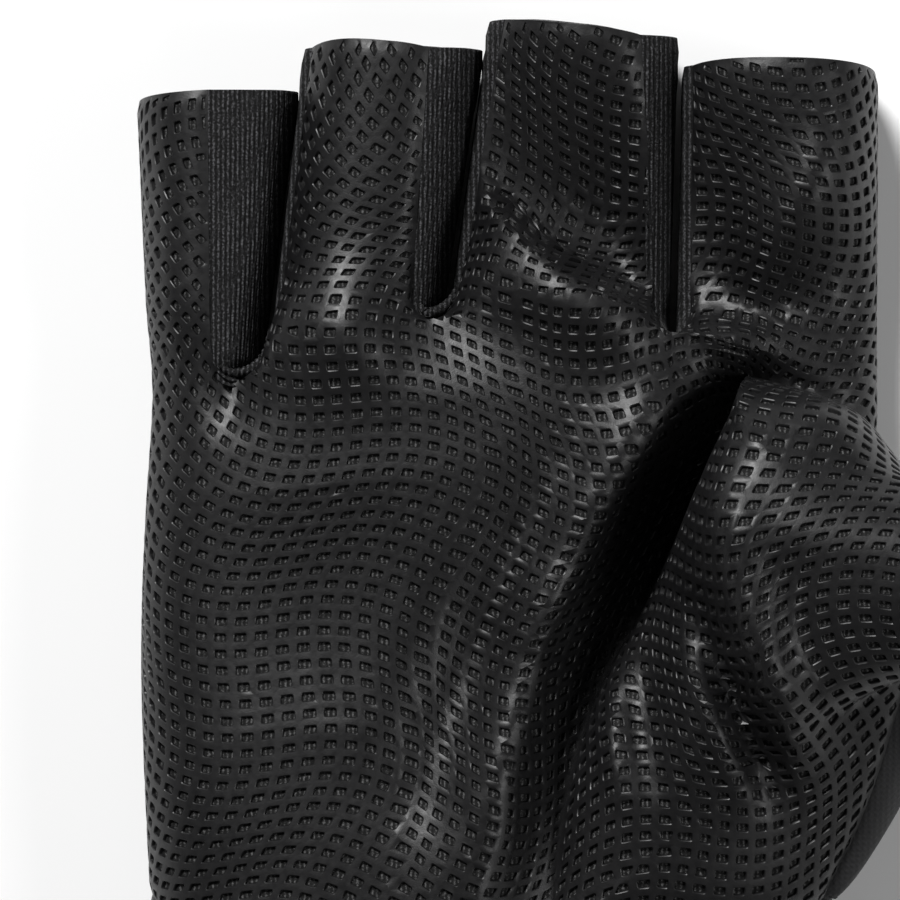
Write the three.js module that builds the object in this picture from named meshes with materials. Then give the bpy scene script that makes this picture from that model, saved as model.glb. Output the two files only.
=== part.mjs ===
// Right-hand fingerless training glove, lying on its back with the palm up.
// Millimetres. +Z is up out of the palm, +Y runs to the fingers, +X to the thumb.
// The whole outer skin is worked out first, as patches that share their edges.
// Each piece then gets its own wall from it, with a small gap at every seam.

import * as THREE from 'three';

// Driving sizes
const palmWidth = 96;
const fingerReach = 136;
const handDepth = 27;
const cuffLength = 34;
const cuffWidth = 78;
const cuffDepth = 25;
const cuffSwell = 1.3;
const thumbOpeningWidth = 24;
const thumbOpeningDepth = 27;
const thumbReach = 61;
const thumbAlong = 64;
const thumbHeight = 25;

// Walls and the gap left between pieces at a seam
const leatherWall = 1.4;
const clothWall = 1.2;
const knitWall = 1.0;
const cuffWall = 1.8;
const seamGap = 0.5;

// Roundness of the sections, 2 is an ellipse
const handRoundness = 2.6;
const fingerRoundness = 2.4;
const thumbRoundness = 2.2;

// Height of the widest point of a section, as a share of its height
const sideHeight = 0.36;
const fingerSideHeight = 0.42;
// How far a section would reach below the surface it rests on, before it is flattened
const restFlattening = 1.6;

// Mesh counts
const columnsPerFinger = 7;
const backColumnsPerFinger = 4;
const palmRows = 18;
const rowsAboveWeb = 2;
const crotchArcSteps = 3;
const fingerRows = 5;
const gussetColumns = 4;
const cuffSegments = 4;
const cuffRows = 5;
const thumbSteps = 16;

// Where along the palm rows the web of the thumb lies
const webShare = 0.955;
// Place across the palm of the fold between palm and thumb, as a cosine of the section
const foldColumn = 0.637;
// Width of the slope that falls into that fold, as a share of palmWidth
const foldSlope = 0.085;
// Height of the round bottom of the slits, as a share of the finger stub
const crotchRound = 0.1;
// Share of the finger stub over which it takes its own form out of the palm
const fingerBlend = 0.32;
// The slit at the back of the hand reaches this much closer to the wrist
const backSlitShift = 3;
// Half width of the dip at a slit, in radians round the section, and the palm row it starts at
const slitDipTurn = 0.13;
const slitDipStart = 0.86;
// Share of a stub's columns over which the round bottom of a slit fades out
const slitReach = 0.3;
// Steps along a fold's path, and its height at the two ends as a share of the middle
const foldSteps = 40;
const lipStep = 3.4;
const lipReach = 36;
const foldEndShare = 0.45;

// Sections of the hand, from the cuff to the slits.
// along is a share of fingerReach, left and right of palmWidth, rise of handDepth.
// waist narrows the leather towards the fold, fold is how deep that falls, of handDepth.
const handSections = [
  { along: 0.10, left: -0.482, right: 0.385, rise: 0.93, waist: 0.750, fold: 0.10 },
  { along: 0.239, left: -0.492, right: 0.480, rise: 0.98, waist: 0.704, fold: 0.26 },
  { along: 0.353, left: -0.498, right: 0.488, rise: 1.00, waist: 0.755, fold: 0.44 },
  { along: 0.449, left: -0.498, right: 0.490, rise: 1.02, waist: 0.842, fold: 0.60 },
  { along: 0.544, left: -0.492, right: 0.494, rise: 1.02, waist: 0.920, fold: 0.64 },
  { along: 0.640, left: -0.484, right: 0.497, rise: 1.00, waist: 1.000, fold: 0.42 },
  { along: 0.720, left: -0.487, right: 0.497, rise: 0.96, waist: 1.000, fold: 0.00 },
];

// Points between the fingers, from the little finger's outer side to the index finger's.
// across is a share of palmWidth, along of fingerReach, dip of handDepth.
const slitPoints = [
  { name: 'little_side', across: -0.487, along: 0.640, dip: 0.00 },
  { name: 'little_ring', across: -0.368, along: 0.661, dip: 0.10 },
  { name: 'ring_middle', across: -0.108, along: 0.718, dip: 0.10 },
  { name: 'middle_index', across: 0.219, along: 0.705, dip: 0.12 },
  { name: 'index_side', across: 0.497, along: 0.620, dip: 0.00 },
];

// Finger stubs, at the base and at the open top.
// left, right, leatherLeft and leatherRight are shares of palmWidth, rise of handDepth.
const fingerSections = {
  little: [
    { left: -0.487, right: -0.3365, leatherLeft: -0.487, leatherRight: -0.403, rise: 0.80 },
    { left: -0.505, right: -0.2835, leatherLeft: -0.505, leatherRight: -0.406, rise: 0.80 },
  ],
  ring: [
    { left: -0.331, right: -0.0925, leatherLeft: -0.325, leatherRight: -0.132, rise: 0.92 },
    { left: -0.2795, right: -0.0345, leatherLeft: -0.270, leatherRight: -0.108, rise: 0.92 },
  ],
  middle: [
    { left: -0.087, right: 0.2165, leatherLeft: -0.075, leatherRight: 0.196, rise: 0.84 },
    { left: -0.0305, right: 0.2285, leatherLeft: -0.011, leatherRight: 0.177, rise: 0.96 },
  ],
  index: [
    { left: 0.222, right: 0.497, leatherLeft: 0.240, leatherRight: 0.497, rise: 0.74 },
    { left: 0.2325, right: 0.497, leatherLeft: 0.242, leatherRight: 0.497, rise: 0.96 },
  ],
};

// Open tops of the finger stubs, as shares of fingerReach, with the crown of their edge
const fingerTops = {
  little: { left: 0.923, crown: 0.929, right: 0.933 },
  ring: { left: 0.974, crown: 0.981, right: 0.972 },
  middle: { left: 1.000, crown: 0.995, right: 0.984 },
  index: { left: 0.957, crown: 0.962, right: 0.948 },
};
const fingerNames = ['little', 'ring', 'middle', 'index'];

// Folds of the palm: a path of three points, across in palmWidth and along in fingerReach.
// width is a share of palmWidth, height of handDepth, and a dent has a negative height.
const palmFolds = [
  { name: 'thumb ridge, upper', x0: 0.280, y0: 0.672, x1: 0.120, y1: 0.560, x2: 0.045, y2: 0.440,
    width: 0.060, height: 0.22 },
  { name: 'thumb ridge, lower', x0: 0.045, y0: 0.440, x1: 0.015, y1: 0.300, x2: -0.075, y2: 0.140,
    width: 0.055, height: 0.22 },
  { name: 'dent beside the ridge', x0: 0.080, y0: 0.560, x1: -0.035, y1: 0.430, x2: -0.120, y2: 0.280,
    width: 0.065, height: -0.15 },
  { name: 'swell before the lip', x0: -0.045, y0: 0.810, x1: 0.060, y1: 0.728, x2: 0.270, y2: 0.690,
    width: 0.065, height: 0.19 },
  { name: 'pad of the ring finger', x0: -0.290, y0: 0.705, x1: -0.220, y1: 0.700, x2: -0.150, y2: 0.700,
    width: 0.075, height: 0.14 },
  { name: 'hollow of the palm', x0: -0.250, y0: 0.560, x1: -0.230, y1: 0.450, x2: -0.220, y2: 0.330,
    width: 0.190, height: -0.10 },
  { name: 'crease to the cuff', x0: -0.030, y0: 0.260, x1: -0.060, y1: 0.200, x2: -0.090, y2: 0.120,
    width: 0.035, height: -0.06 },
  { name: 'slanting swell of the index finger', x0: 0.450, y0: 0.880, x1: 0.350, y1: 0.800, x2: 0.290, y2: 0.720,
    width: 0.055, height: 0.14 },
  { name: 'dent beside that swell', x0: 0.520, y0: 0.800, x1: 0.460, y1: 0.740, x2: 0.420, y2: 0.660,
    width: 0.060, height: -0.08 },
];
// The leather drops away beyond a lip that runs slantwise over the base of the middle finger
const palmLip = [
  { across: -0.090, along: 0.870, drop: 0.00 },
  { across: -0.027, along: 0.822, drop: 0.22 },
  { across: 0.068, along: 0.760, drop: 0.34 },
  { across: 0.176, along: 0.722, drop: 0.38 },
  { across: 0.250, along: 0.704, drop: 0.36 },
  { across: 0.331, along: 0.700, drop: 0.18 },
  { across: 0.440, along: 0.700, drop: 0.00 },
];

// Folds of the thumb, in the same shares
const thumbFolds = [
  { name: 'bright fold', x0: 0.275, y0: 0.545, x1: 0.322, y1: 0.375, x2: 0.412, y2: 0.285,
    width: 0.038, height: 0.16 },
  { name: 'crease below it', x0: 0.250, y0: 0.440, x1: 0.300, y1: 0.345, x2: 0.350, y2: 0.270,
    width: 0.030, height: -0.22 },
  { name: 'lower side of that crease', x0: 0.250, y0: 0.385, x1: 0.280, y1: 0.335, x2: 0.318, y2: 0.270,
    width: 0.022, height: 0.09 },
  { name: 'short fold in the hollow', x0: 0.140, y0: 0.435, x1: 0.105, y1: 0.355, x2: 0.150, y2: 0.275,
    width: 0.026, height: 0.13 },
  { name: 'hollow of the thumb', x0: 0.190, y0: 0.480, x1: 0.185, y1: 0.392, x2: 0.176, y2: 0.290,
    width: 0.042, height: -0.20 },
];

// How the thumb leather leaves its sewn edge: places on that edge, from the cuff's corner
// round the fold to the web. at is a share of the edge. The start handle is in shares of
// palmWidth (x), fingerReach (y) and handDepth (z). turn is the share of the opening's arc,
// pull the end handle as a share of palmWidth.
const thumbFan = [
  { name: 'corner of the cuff', at: 0.00, x: 0.050, y: 0.080, z: 0.10, turn: 0.00, pull: 0.160 },
  { name: 'middle of the cuff', at: 0.09, x: 0.010, y: 0.110, z: 0.34, turn: 0.07, pull: 0.190 },
  { name: 'foot of the fold', at: 0.19, x: 0.030, y: 0.060, z: 0.34, turn: 0.17, pull: 0.230 },
  { name: 'lower fold', at: 0.36, x: 0.050, y: 0.020, z: 0.56, turn: 0.34, pull: 0.240 },
  { name: 'middle fold', at: 0.53, x: 0.010, y: 0.000, z: 0.92, turn: 0.50, pull: 0.250 },
  { name: 'upper fold', at: 0.64, x: -0.065, y: -0.015, z: 1.14, turn: 0.60, pull: 0.260 },
  { name: 'overhang', at: 0.73, x: -0.095, y: 0.010, z: 1.03, turn: 0.68, pull: 0.270 },
  { name: 'top of the fold', at: 0.82, x: -0.060, y: 0.030, z: 0.88, turn: 0.77, pull: 0.250 },
  { name: 'middle of the web', at: 0.91, x: 0.000, y: 0.020, z: 0.82, turn: 0.86, pull: 0.180 },
  { name: 'end of the web', at: 1.00, x: 0.080, y: -0.050, z: 0.40, turn: 1.00, pull: 0.080 },
];

// Sewn edge of the thumb below, from the cuff's corner to the opening, in the same shares
const thumbSeam = [
  { across: 0.423, along: 0.162, height: 0.50 },
  { across: 0.467, along: 0.229, height: 0.62 },
  { across: 0.500, along: 0.296, height: 0.78 },
  { across: 0.528, along: 0.363, height: 0.88 },
  { across: 0.562, along: 0.405, height: 0.90 },
];

// Turn of the thumb opening's arc, in degrees from straight out of the palm
const openingSeamTurn = 106;
const openingWebTurn = -104;
// How far the opening leans out, per millimetre along the hand and per millimetre up
const openingLeanAlong = 0.22;
const openingLeanUp = -0.1;
// How far the back of the thumb bellies out between its seams
const thumbBelly = 5;
// Rows over which the thumb's own folds fade in, and the share in which it bends to its sewn edge
const thumbFadeRows = 4;
const thumbSeamShare = 0.3;
const edgeRounding = 4;

// Small tools
const lerp = (a, b, t) => a + (b - a) * t;

function smooth(t) {
  const s = Math.min(Math.max(t, 0), 1);
  return s * s * (3 - 2 * s);
}

function power(value, exponent) {
  return Math.sign(value) * Math.abs(value) ** exponent;
}

function superCos(angle, roundness) {
  return power(Math.cos(angle), 2 / roundness);
}

function superSin(angle, roundness) {
  return power(Math.sin(angle), 2 / roundness);
}

function angleOfCos(share, roundness) {
  return Math.acos(power(Math.min(Math.max(share, -1), 1), roundness / 2));
}

// Value of a named column at a place, on a smooth curve through the rows
function along(table, placeKey, key, place) {
  const last = table.length - 1;
  let i = 0;
  while (i < last - 1 && place > table[i + 1][placeKey]) i += 1;
  const slope = (k) => {
    const a = table[Math.max(k - 1, 0)];
    const b = table[Math.min(k + 1, last)];
    return (b[key] - a[key]) / (b[placeKey] - a[placeKey]);
  };
  const gap = table[i + 1][placeKey] - table[i][placeKey];
  const t = Math.min(Math.max((place - table[i][placeKey]) / gap, 0), 1);
  const h = smooth(t);
  return table[i][key] * (1 - h) + table[i + 1][key] * h
    + gap * t * (1 - t) * ((1 - t) * slope(i) - t * slope(i + 1));
}

// Sum of the folds at a point seen from above
function foldHeight(folds, x, y) {
  let sum = 0;
  for (const fold of folds) {
    let nearest = Infinity;
    let taper = 0;
    for (let k = 0; k <= foldSteps; k += 1) {
      const t = k / foldSteps;
      const px = (1 - t) ** 2 * fold.x0 + 2 * t * (1 - t) * fold.x1 + t * t * fold.x2;
      const py = (1 - t) ** 2 * fold.y0 + 2 * t * (1 - t) * fold.y1 + t * t * fold.y2;
      const distance = Math.hypot(x - px * palmWidth, y - py * fingerReach);
      if (distance < nearest) {
        nearest = distance;
        taper = lerp(foldEndShare, 1, Math.sin(Math.PI * t));
      }
    }
    sum += fold.height * handDepth * taper * Math.exp(-((nearest / (fold.width * palmWidth)) ** 2));
  }
  return sum;
}

// Height of the palm's folds and lip at a point seen from above
function palmForm(x, y) {
  const across = x / palmWidth;
  const beyond = y - fingerReach * along(palmLip, 'across', 'along', across);
  const drop = handDepth * Math.max(along(palmLip, 'across', 'drop', across), 0);
  return foldHeight(palmFolds, x, y) - drop * smooth(beyond / lipStep) * (1 - smooth(beyond / lipReach));
}

// Hand section
const foldAngle = angleOfCos(foldColumn, handRoundness);

function handExtent(y) {
  const share = y / fingerReach;
  return {
    left: palmWidth * along(handSections, 'along', 'left', share),
    right: palmWidth * along(handSections, 'along', 'right', share),
    rise: handDepth * along(handSections, 'along', 'rise', share),
  };
}

// foldAlong is where the same row meets the fold between palm and thumb
function frontPoint(angle, y, foldAlong) {
  const hand = handExtent(y);
  const waist = Math.min(along(handSections, 'along', 'waist', foldAlong / fingerReach), 1);
  const fold = Math.max(along(handSections, 'along', 'fold', foldAlong / fingerReach), 0) * handDepth;
  const half = ((hand.right - hand.left) / 2) * waist;
  const x = hand.left + half * (1 + superCos(angle, handRoundness));
  const lift = superSin(angle, handRoundness);
  const foldX = hand.left + half * (1 + foldColumn);
  const reach = (foldX - x) / (foldSlope * palmWidth);
  const drop = fold * Math.exp(-(reach ** 2));
  const folds = palmForm(x, y) - drop;
  const z = hand.rise * (sideHeight + (1 - sideHeight) * lift) + folds * Math.max(lift, 0);
  return new THREE.Vector3(x, y, z);
}

function backPoint(angle, y) {
  const hand = handExtent(y);
  const half = (hand.right - hand.left) / 2;
  const x = hand.left + half * (1 + superCos(angle, handRoundness));
  const centre = hand.rise * sideHeight;
  const z = centre + (centre + restFlattening) * superSin(angle, handRoundness);
  return new THREE.Vector3(x, y, Math.max(z, 0));
}

// Finger section
function fingerExtent(name, t) {
  const [base, top] = fingerSections[name];
  const extent = {};
  for (const key of ['left', 'right', 'leatherLeft', 'leatherRight']) {
    extent[key] = palmWidth * lerp(base[key], top[key], t);
  }
  extent.rise = handDepth * lerp(base.rise, top.rise, smooth(t));
  return extent;
}

function leatherAngles(name, t) {
  const extent = fingerExtent(name, t);
  const centre = (extent.left + extent.right) / 2;
  const half = (extent.right - extent.left) / 2;
  return {
    left: angleOfCos((extent.leatherLeft - centre) / half, fingerRoundness),
    right: angleOfCos((extent.leatherRight - centre) / half, fingerRoundness),
  };
}

// Turn below the widest point where the side walls meet the back, in radians
const backSeamTurn = 0.5;

function backAngles(name) {
  return {
    left: name === 'little' ? -Math.PI : -Math.PI + backSeamTurn,
    right: name === 'index' ? 0 : -backSeamTurn,
  };
}

function fingerPoint(name, angle, t) {
  const extent = fingerExtent(name, t);
  const centre = (extent.left + extent.right) / 2;
  const half = (extent.right - extent.left) / 2;
  const x = centre + half * superCos(angle, fingerRoundness);
  const side = extent.rise * fingerSideHeight;
  const lift = superSin(angle, fingerRoundness);
  const z = lift > 0
    ? side + (extent.rise - side) * lift
    : side + (side + restFlattening) * lift;
  return new THREE.Vector2(x, Math.max(z, 0));
}

function topAlong(name, across) {
  const top = fingerTops[name];
  const crownRise = top.crown - (top.left + top.right) / 2;
  return fingerReach * (lerp(top.left, top.right, across) + crownRise * 4 * across * (1 - across));
}

// Points between the fingers on the front and on the back
const slitAngles = slitPoints.map((point, i) => {
  if (i === 0) return Math.PI;
  if (i === slitPoints.length - 1) return 0;
  const hand = handExtent(point.along * fingerReach);
  const half = (hand.right - hand.left) / 2;
  return angleOfCos((point.across * palmWidth - hand.left) / half - 1, handRoundness);
});

function slitAlong(angle) {
  const rows = slitPoints.map((point, i) => ({ turn: Math.PI - slitAngles[i], along: point.along }));
  return fingerReach * along(rows, 'turn', 'along', Math.PI - angle);
}

function slitDip(angle) {
  let dip = 0;
  slitPoints.forEach((point, i) => {
    dip += handDepth * point.dip * Math.exp(-(((angle - slitAngles[i]) / slitDipTurn) ** 2));
  });
  return dip;
}

// Angles of the columns across the palm, four fingers side by side
const frontAngles = [];
const slitColumns = [0];
for (let finger = 0; finger < 4; finger += 1) {
  const start = slitAngles[finger];
  const end = slitAngles[finger + 1];
  for (let c = finger === 0 ? 0 : 1; c <= columnsPerFinger; c += 1) {
    frontAngles.push(lerp(start, end, c / columnsPerFinger));
  }
  slitColumns.push(frontAngles.length - 1);
}
let foldIndex = 0;
frontAngles.forEach((angle, i) => {
  if (Math.abs(angle - foldAngle) < Math.abs(frontAngles[foldIndex] - foldAngle)) foldIndex = i;
});
frontAngles[foldIndex] = foldAngle;

const backColumnAngles = [];
for (let finger = 0; finger < 4; finger += 1) {
  for (let c = finger === 0 ? 0 : 1; c <= backColumnsPerFinger; c += 1) {
    backColumnAngles.push(-lerp(slitAngles[finger], slitAngles[finger + 1], c / backColumnsPerFinger));
  }
}

// Cuff edge: level across the palm, higher at the sides
const cuffTop = 15;
const cuffSideRise = 8;

function cuffAlong(angle) {
  return cuffTop + cuffSideRise * Math.abs(Math.cos(angle)) ** 4;
}

// Shares of the palm rows, with one row exactly at the web
const webRow = palmRows - rowsAboveWeb;
const palmShares = [];
for (let k = 0; k <= palmRows; k += 1) {
  palmShares.push(k <= webRow
    ? (webShare * k) / webRow
    : lerp(webShare, 1, (k - webRow) / rowsAboveWeb));
}

function frontRowAlong(angle, share) {
  return lerp(cuffAlong(angle), slitAlong(angle), share);
}

function backRowAlong(angle, share) {
  const shift = backSlitShift * Math.abs(Math.sin(angle));
  return lerp(cuffAlong(angle), slitAlong(-angle) - shift, share);
}

function palmGridPoint(angle, share) {
  const point = frontPoint(angle, frontRowAlong(angle, share), frontRowAlong(foldAngle, share));
  point.z -= slitDip(angle) * smooth((share - slitDipStart) / (1 - slitDipStart));
  return point;
}

function backGridPoint(angle, share) {
  return backPoint(angle, backRowAlong(angle, share));
}

// Rows of a finger stub: a round bottom, then even steps to the open top
const stubShares = [0];
const stubWeights = [0];
for (let k = 1; k <= crotchArcSteps; k += 1) {
  const turn = (Math.PI / 2) * (k / crotchArcSteps);
  stubShares.push(crotchRound * (1 - Math.cos(turn)));
  stubWeights.push(Math.sin(turn));
}
for (let k = 1; k <= fingerRows; k += 1) {
  stubShares.push(lerp(crotchRound, 1, k / fingerRows));
  stubWeights.push(1);
}

// One point of a stub: it starts on the palm's edge and becomes the finger's own section
function stubPoint(name, rowIndex, basePoint, angle, across, sharpness) {
  const t = stubShares[rowIndex];
  const loop = fingerPoint(name, angle, t);
  const weight = lerp(smooth(t / fingerBlend), stubWeights[rowIndex], sharpness);
  const y = lerp(basePoint.y, topAlong(name, across), t);
  return new THREE.Vector3(
    lerp(basePoint.x, loop.x, weight), y, lerp(basePoint.z, loop.y, weight));
}

function edgeSharpness(column, count, leftIsSlit, rightIsSlit) {
  const near = Math.max(1, count * slitReach);
  const left = leftIsSlit ? Math.max(0, 1 - column / near) : 0;
  const right = rightIsSlit ? Math.max(0, 1 - (count - column) / near) : 0;
  return Math.max(left, right) ** 2;
}

// Patches of the skin. A patch is a grid of points, rows by columns.
function makeGrid(rowCount, columnCount, pointAt) {
  const grid = [];
  for (let r = 0; r <= rowCount; r += 1) {
    const row = [];
    for (let c = 0; c <= columnCount; c += 1) row.push(pointAt(r, c));
    grid.push(row);
  }
  return grid;
}

function palmPatches() {
  const below = makeGrid(webRow, foldIndex, (r, c) => palmGridPoint(frontAngles[c], palmShares[r]));
  const above = makeGrid(rowsAboveWeb, frontAngles.length - 1,
    (r, c) => palmGridPoint(frontAngles[c], palmShares[webRow + r]));
  return [below, above];
}

function frontStubPatch(finger) {
  const name = fingerNames[finger];
  const first = slitColumns[finger];
  return makeGrid(stubShares.length - 1, columnsPerFinger, (r, c) => {
    const across = c / columnsPerFinger;
    const turns = leatherAngles(name, stubShares[r]);
    const angle = lerp(turns.left, turns.right, across);
    const base = palmGridPoint(frontAngles[first + c], 1);
    const sharpness = edgeSharpness(c, columnsPerFinger, finger > 0, finger < 3);
    const point = stubPoint(name, r, base, angle, across, sharpness);
    // The palm's folds run on over the stub, apart from the sides of the slits
    const ownForm = smooth(stubShares[r] / fingerBlend);
    const weight = lerp(ownForm, stubWeights[r], sharpness);
    const palmLift = Math.max(superSin(frontAngles[first + c], handRoundness), 0);
    const lift = lerp(palmLift, Math.max(superSin(angle, fingerRoundness), 0), ownForm);
    const carried = palmForm(base.x, base.y) * palmLift * (1 - weight);
    point.z += (palmForm(point.x, point.y) * lift - carried) * (1 - sharpness);
    return point;
  });
}

function backStubPatch(finger) {
  const name = fingerNames[finger];
  const first = finger * backColumnsPerFinger;
  return makeGrid(stubShares.length - 1, backColumnsPerFinger, (r, c) => {
    const across = c / backColumnsPerFinger;
    const turns = backAngles(name);
    const angle = lerp(turns.left, turns.right, across);
    const base = backGridPoint(backColumnAngles[first + c], 1);
    const sharpness = edgeSharpness(c, backColumnsPerFinger, finger > 0, finger < 3);
    return stubPoint(name, r, base, angle, across, sharpness);
  });
}

// Side wall of two neighbouring fingers, from one open top down round the slit and up again
function gussetPatch(slit) {
  const lower = fingerNames[slit - 1];
  const upper = fingerNames[slit];
  const front = palmGridPoint(slitAngles[slit], 1);
  const back = backGridPoint(-slitAngles[slit], 1);
  const rows = stubShares.length - 1;
  return makeGrid(rows * 2, gussetColumns, (r, c) => {
    const depth = c / gussetColumns;
    const base = front.clone().lerp(back, depth);
    const isLower = r <= rows;
    const row = isLower ? rows - r : r - rows;
    const name = isLower ? lower : upper;
    const turns = leatherAngles(name, stubShares[row]);
    const ends = backAngles(name);
    const angle = isLower
      ? lerp(turns.right, ends.right, depth)
      : lerp(turns.left, ends.left + 2 * Math.PI, depth);
    return stubPoint(name, row, base, angle, isLower ? 1 : 0, 1);
  });
}

function backPatch() {
  return makeGrid(palmRows, backColumnAngles.length - 1,
    (r, c) => backGridPoint(backColumnAngles[c], palmShares[r]));
}

// Thumb
function cuffCorner() {
  return backGridPoint(0, 0);
}

// Palm edge that the thumb is sewn to, from the cuff's corner round the fold to the web
function thumbEdge() {
  const corner = cuffCorner();
  const foot = palmGridPoint(foldAngle, 0);
  const edge = [];
  for (let k = 0; k < cuffSegments; k += 1) {
    const t = k / cuffSegments;
    const turn = (Math.PI / 2) * t;
    const x = corner.x + (foot.x - corner.x) * (1 - Math.cos(turn));
    const z = corner.z + (foot.z - corner.z) * Math.sin(turn);
    edge.push(new THREE.Vector3(x, lerp(corner.y, foot.y, smooth(t * 1.4)), z));
  }
  for (let r = 0; r <= webRow; r += 1) edge.push(palmGridPoint(foldAngle, palmShares[r]));
  for (let c = foldIndex + 1; c < frontAngles.length; c += 1) {
    edge.push(palmGridPoint(frontAngles[c], webShare));
  }
  return edge;
}

function openingPoint(degrees) {
  const turn = (degrees * Math.PI) / 180;
  const along = superSin(turn, thumbRoundness) * (thumbOpeningWidth / 2);
  const up = superCos(turn, thumbRoundness) * (thumbOpeningDepth / 2);
  const lean = openingLeanAlong * along + openingLeanUp * up;
  return new THREE.Vector3(thumbReach + lean, thumbAlong - along, thumbHeight + up);
}

function bezier(p0, p1, p2, p3, t) {
  const s = 1 - t;
  return p0.clone().multiplyScalar(s ** 3)
    .addScaledVector(p1, 3 * s * s * t)
    .addScaledVector(p2, 3 * s * t * t)
    .addScaledVector(p3, t ** 3);
}

function seamPoint(t) {
  const points = [cuffCorner()];
  for (const row of thumbSeam) {
    points.push(new THREE.Vector3(
      row.across * palmWidth, row.along * fingerReach, row.height * handDepth));
  }
  points.push(openingPoint(openingSeamTurn));
  return new THREE.CatmullRomCurve3(points, false, 'centripetal').getPoint(t);
}

function thumbFrontPatch() {
  const edge = thumbEdge();
  const last = edge.length - 1;
  // The corner of the edge at the web is rounded off before the leather leaves it
  const roundedEdge = (r) => {
    const sum = new THREE.Vector3();
    for (let k = -edgeRounding; k <= edgeRounding; k += 1) {
      sum.add(edge[Math.min(Math.max(r + k, 0), last)]);
    }
    return sum.divideScalar(2 * edgeRounding + 1);
  };
  const rowPoint = (r, t) => {
    const at = r / last;
    const value = (key) => along(thumbFan, 'at', key, at);
    const start = edge[r];
    const leave = roundedEdge(r).add(new THREE.Vector3(
      value('x') * palmWidth, value('y') * fingerReach, value('z') * handDepth));
    const end = openingPoint(lerp(openingSeamTurn, openingWebTurn, value('turn')));
    const pull = new THREE.Vector3(-value('pull') * palmWidth, 0, 0);
    return bezier(start, leave, end.clone().add(pull), end, t);
  };
  return makeGrid(last, thumbSteps, (r, c) => {
    const t = c / thumbSteps;
    const point = rowPoint(r, t);
    const near = (1 - smooth(r / (last * thumbSeamShare))) ** 2;
    point.addScaledVector(seamPoint(t).sub(rowPoint(0, t)), near);
    const inner = Math.sqrt(Math.sin(Math.PI * t))
      * smooth(r / thumbFadeRows) * smooth((last - r) / thumbFadeRows);
    point.z += foldHeight(thumbFolds, point.x, point.y) * inner;
    return point;
  });
}

// Back of the thumb, filled in between the back panel, the sewn edge and the opening
function thumbBackPatch(frontGrid) {
  const edge = [];
  for (let r = 0; r <= webRow; r += 1) edge.push(backGridPoint(0, palmShares[r]));
  const lowerSeam = frontGrid[0];
  const upperSeam = frontGrid[frontGrid.length - 1];
  return makeGrid(webRow, thumbSteps, (r, c) => {
    const s = r / webRow;
    const t = c / thumbSteps;
    const end = openingPoint(lerp(openingSeamTurn, openingWebTurn + 360, s));
    if (r === 0) return lowerSeam[c].clone();
    if (r === webRow) return upperSeam[c].clone();
    if (c === 0) return edge[r];
    if (c === thumbSteps) return end;
    const sides = lowerSeam[c].clone().lerp(upperSeam[c], s);
    const ends = edge[r].clone().lerp(end, t);
    const low = lowerSeam[0].clone().lerp(upperSeam[0], s);
    const high = lowerSeam[thumbSteps].clone().lerp(upperSeam[thumbSteps], s);
    const point = sides.add(ends).sub(low.lerp(high, t));
    const belly = thumbBelly * Math.sin(Math.PI * s) * Math.sin(Math.PI * t);
    point.z = Math.max(point.z - belly, 0);
    return point;
  });
}

// Cuff, from the lower edge of the skin down to its own open end
function cuffPatch() {
  const top = [];
  for (let c = 0; c <= foldIndex; c += 1) top.push(palmGridPoint(frontAngles[c], 0));
  const edge = thumbEdge();
  for (let k = cuffSegments - 1; k >= 0; k -= 1) top.push(edge[k]);
  for (let c = backColumnAngles.length - 2; c >= 0; c -= 1) {
    top.push(backGridPoint(backColumnAngles[c], 0));
  }
  const hand = handExtent(cuffTop);
  const centreX = (hand.left + hand.right) / 2;
  const halfTop = (hand.right - hand.left) / 2;
  const centreZ = cuffDepth / 2;
  const endAlong = cuffTop - cuffLength;
  return makeGrid(cuffRows, top.length - 1, (r, c) => {
    const t = r / cuffRows;
    const start = top[c];
    const turn = Math.atan2((start.z - centreZ) / centreZ, (start.x - centreX) / halfTop);
    const cos = superCos(turn, handRoundness);
    const sin = superSin(turn, handRoundness);
    const endX = centreX + (cuffWidth / 2) * cos;
    const endZ = centreZ + (centreZ + (sin < 0 ? restFlattening : 0)) * sin;
    const swell = cuffSwell * Math.sin(Math.PI * t);
    return new THREE.Vector3(
      lerp(start.x, endX, smooth(t)) + swell * Math.cos(turn),
      lerp(start.y, endAlong, t),
      Math.max(lerp(start.z, endZ, smooth(t)) + swell * Math.sin(turn), 0));
  });
}

// Turning patches into triangles that face outwards
function gridTriangles(grid, flip) {
  const triangles = [];
  for (let r = 0; r < grid.length - 1; r += 1) {
    for (let c = 0; c < grid[r].length - 1; c += 1) {
      const a = grid[r][c];
      const b = grid[r][c + 1];
      const d = grid[r + 1][c];
      const e = grid[r + 1][c + 1];
      const parts = [[a, b, e], [a, e, d]];
      for (const part of parts) triangles.push(flip ? part.reverse() : part);
    }
  }
  return triangles;
}

const keyOf = (point) => [point.x, point.y, point.z].map((v) => Math.round(v * 1000)).join(' ');

function faceNormal(triangle) {
  const [a, b, c] = triangle;
  return b.clone().sub(a).cross(c.clone().sub(a)).normalize();
}

// Angle of a triangle at one of its corners
function cornerAngle(triangle, corner) {
  const here = triangle[corner];
  const next = triangle[(corner + 1) % 3].clone().sub(here);
  const other = triangle[(corner + 2) % 3].clone().sub(here);
  return next.angleTo(other);
}

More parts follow.
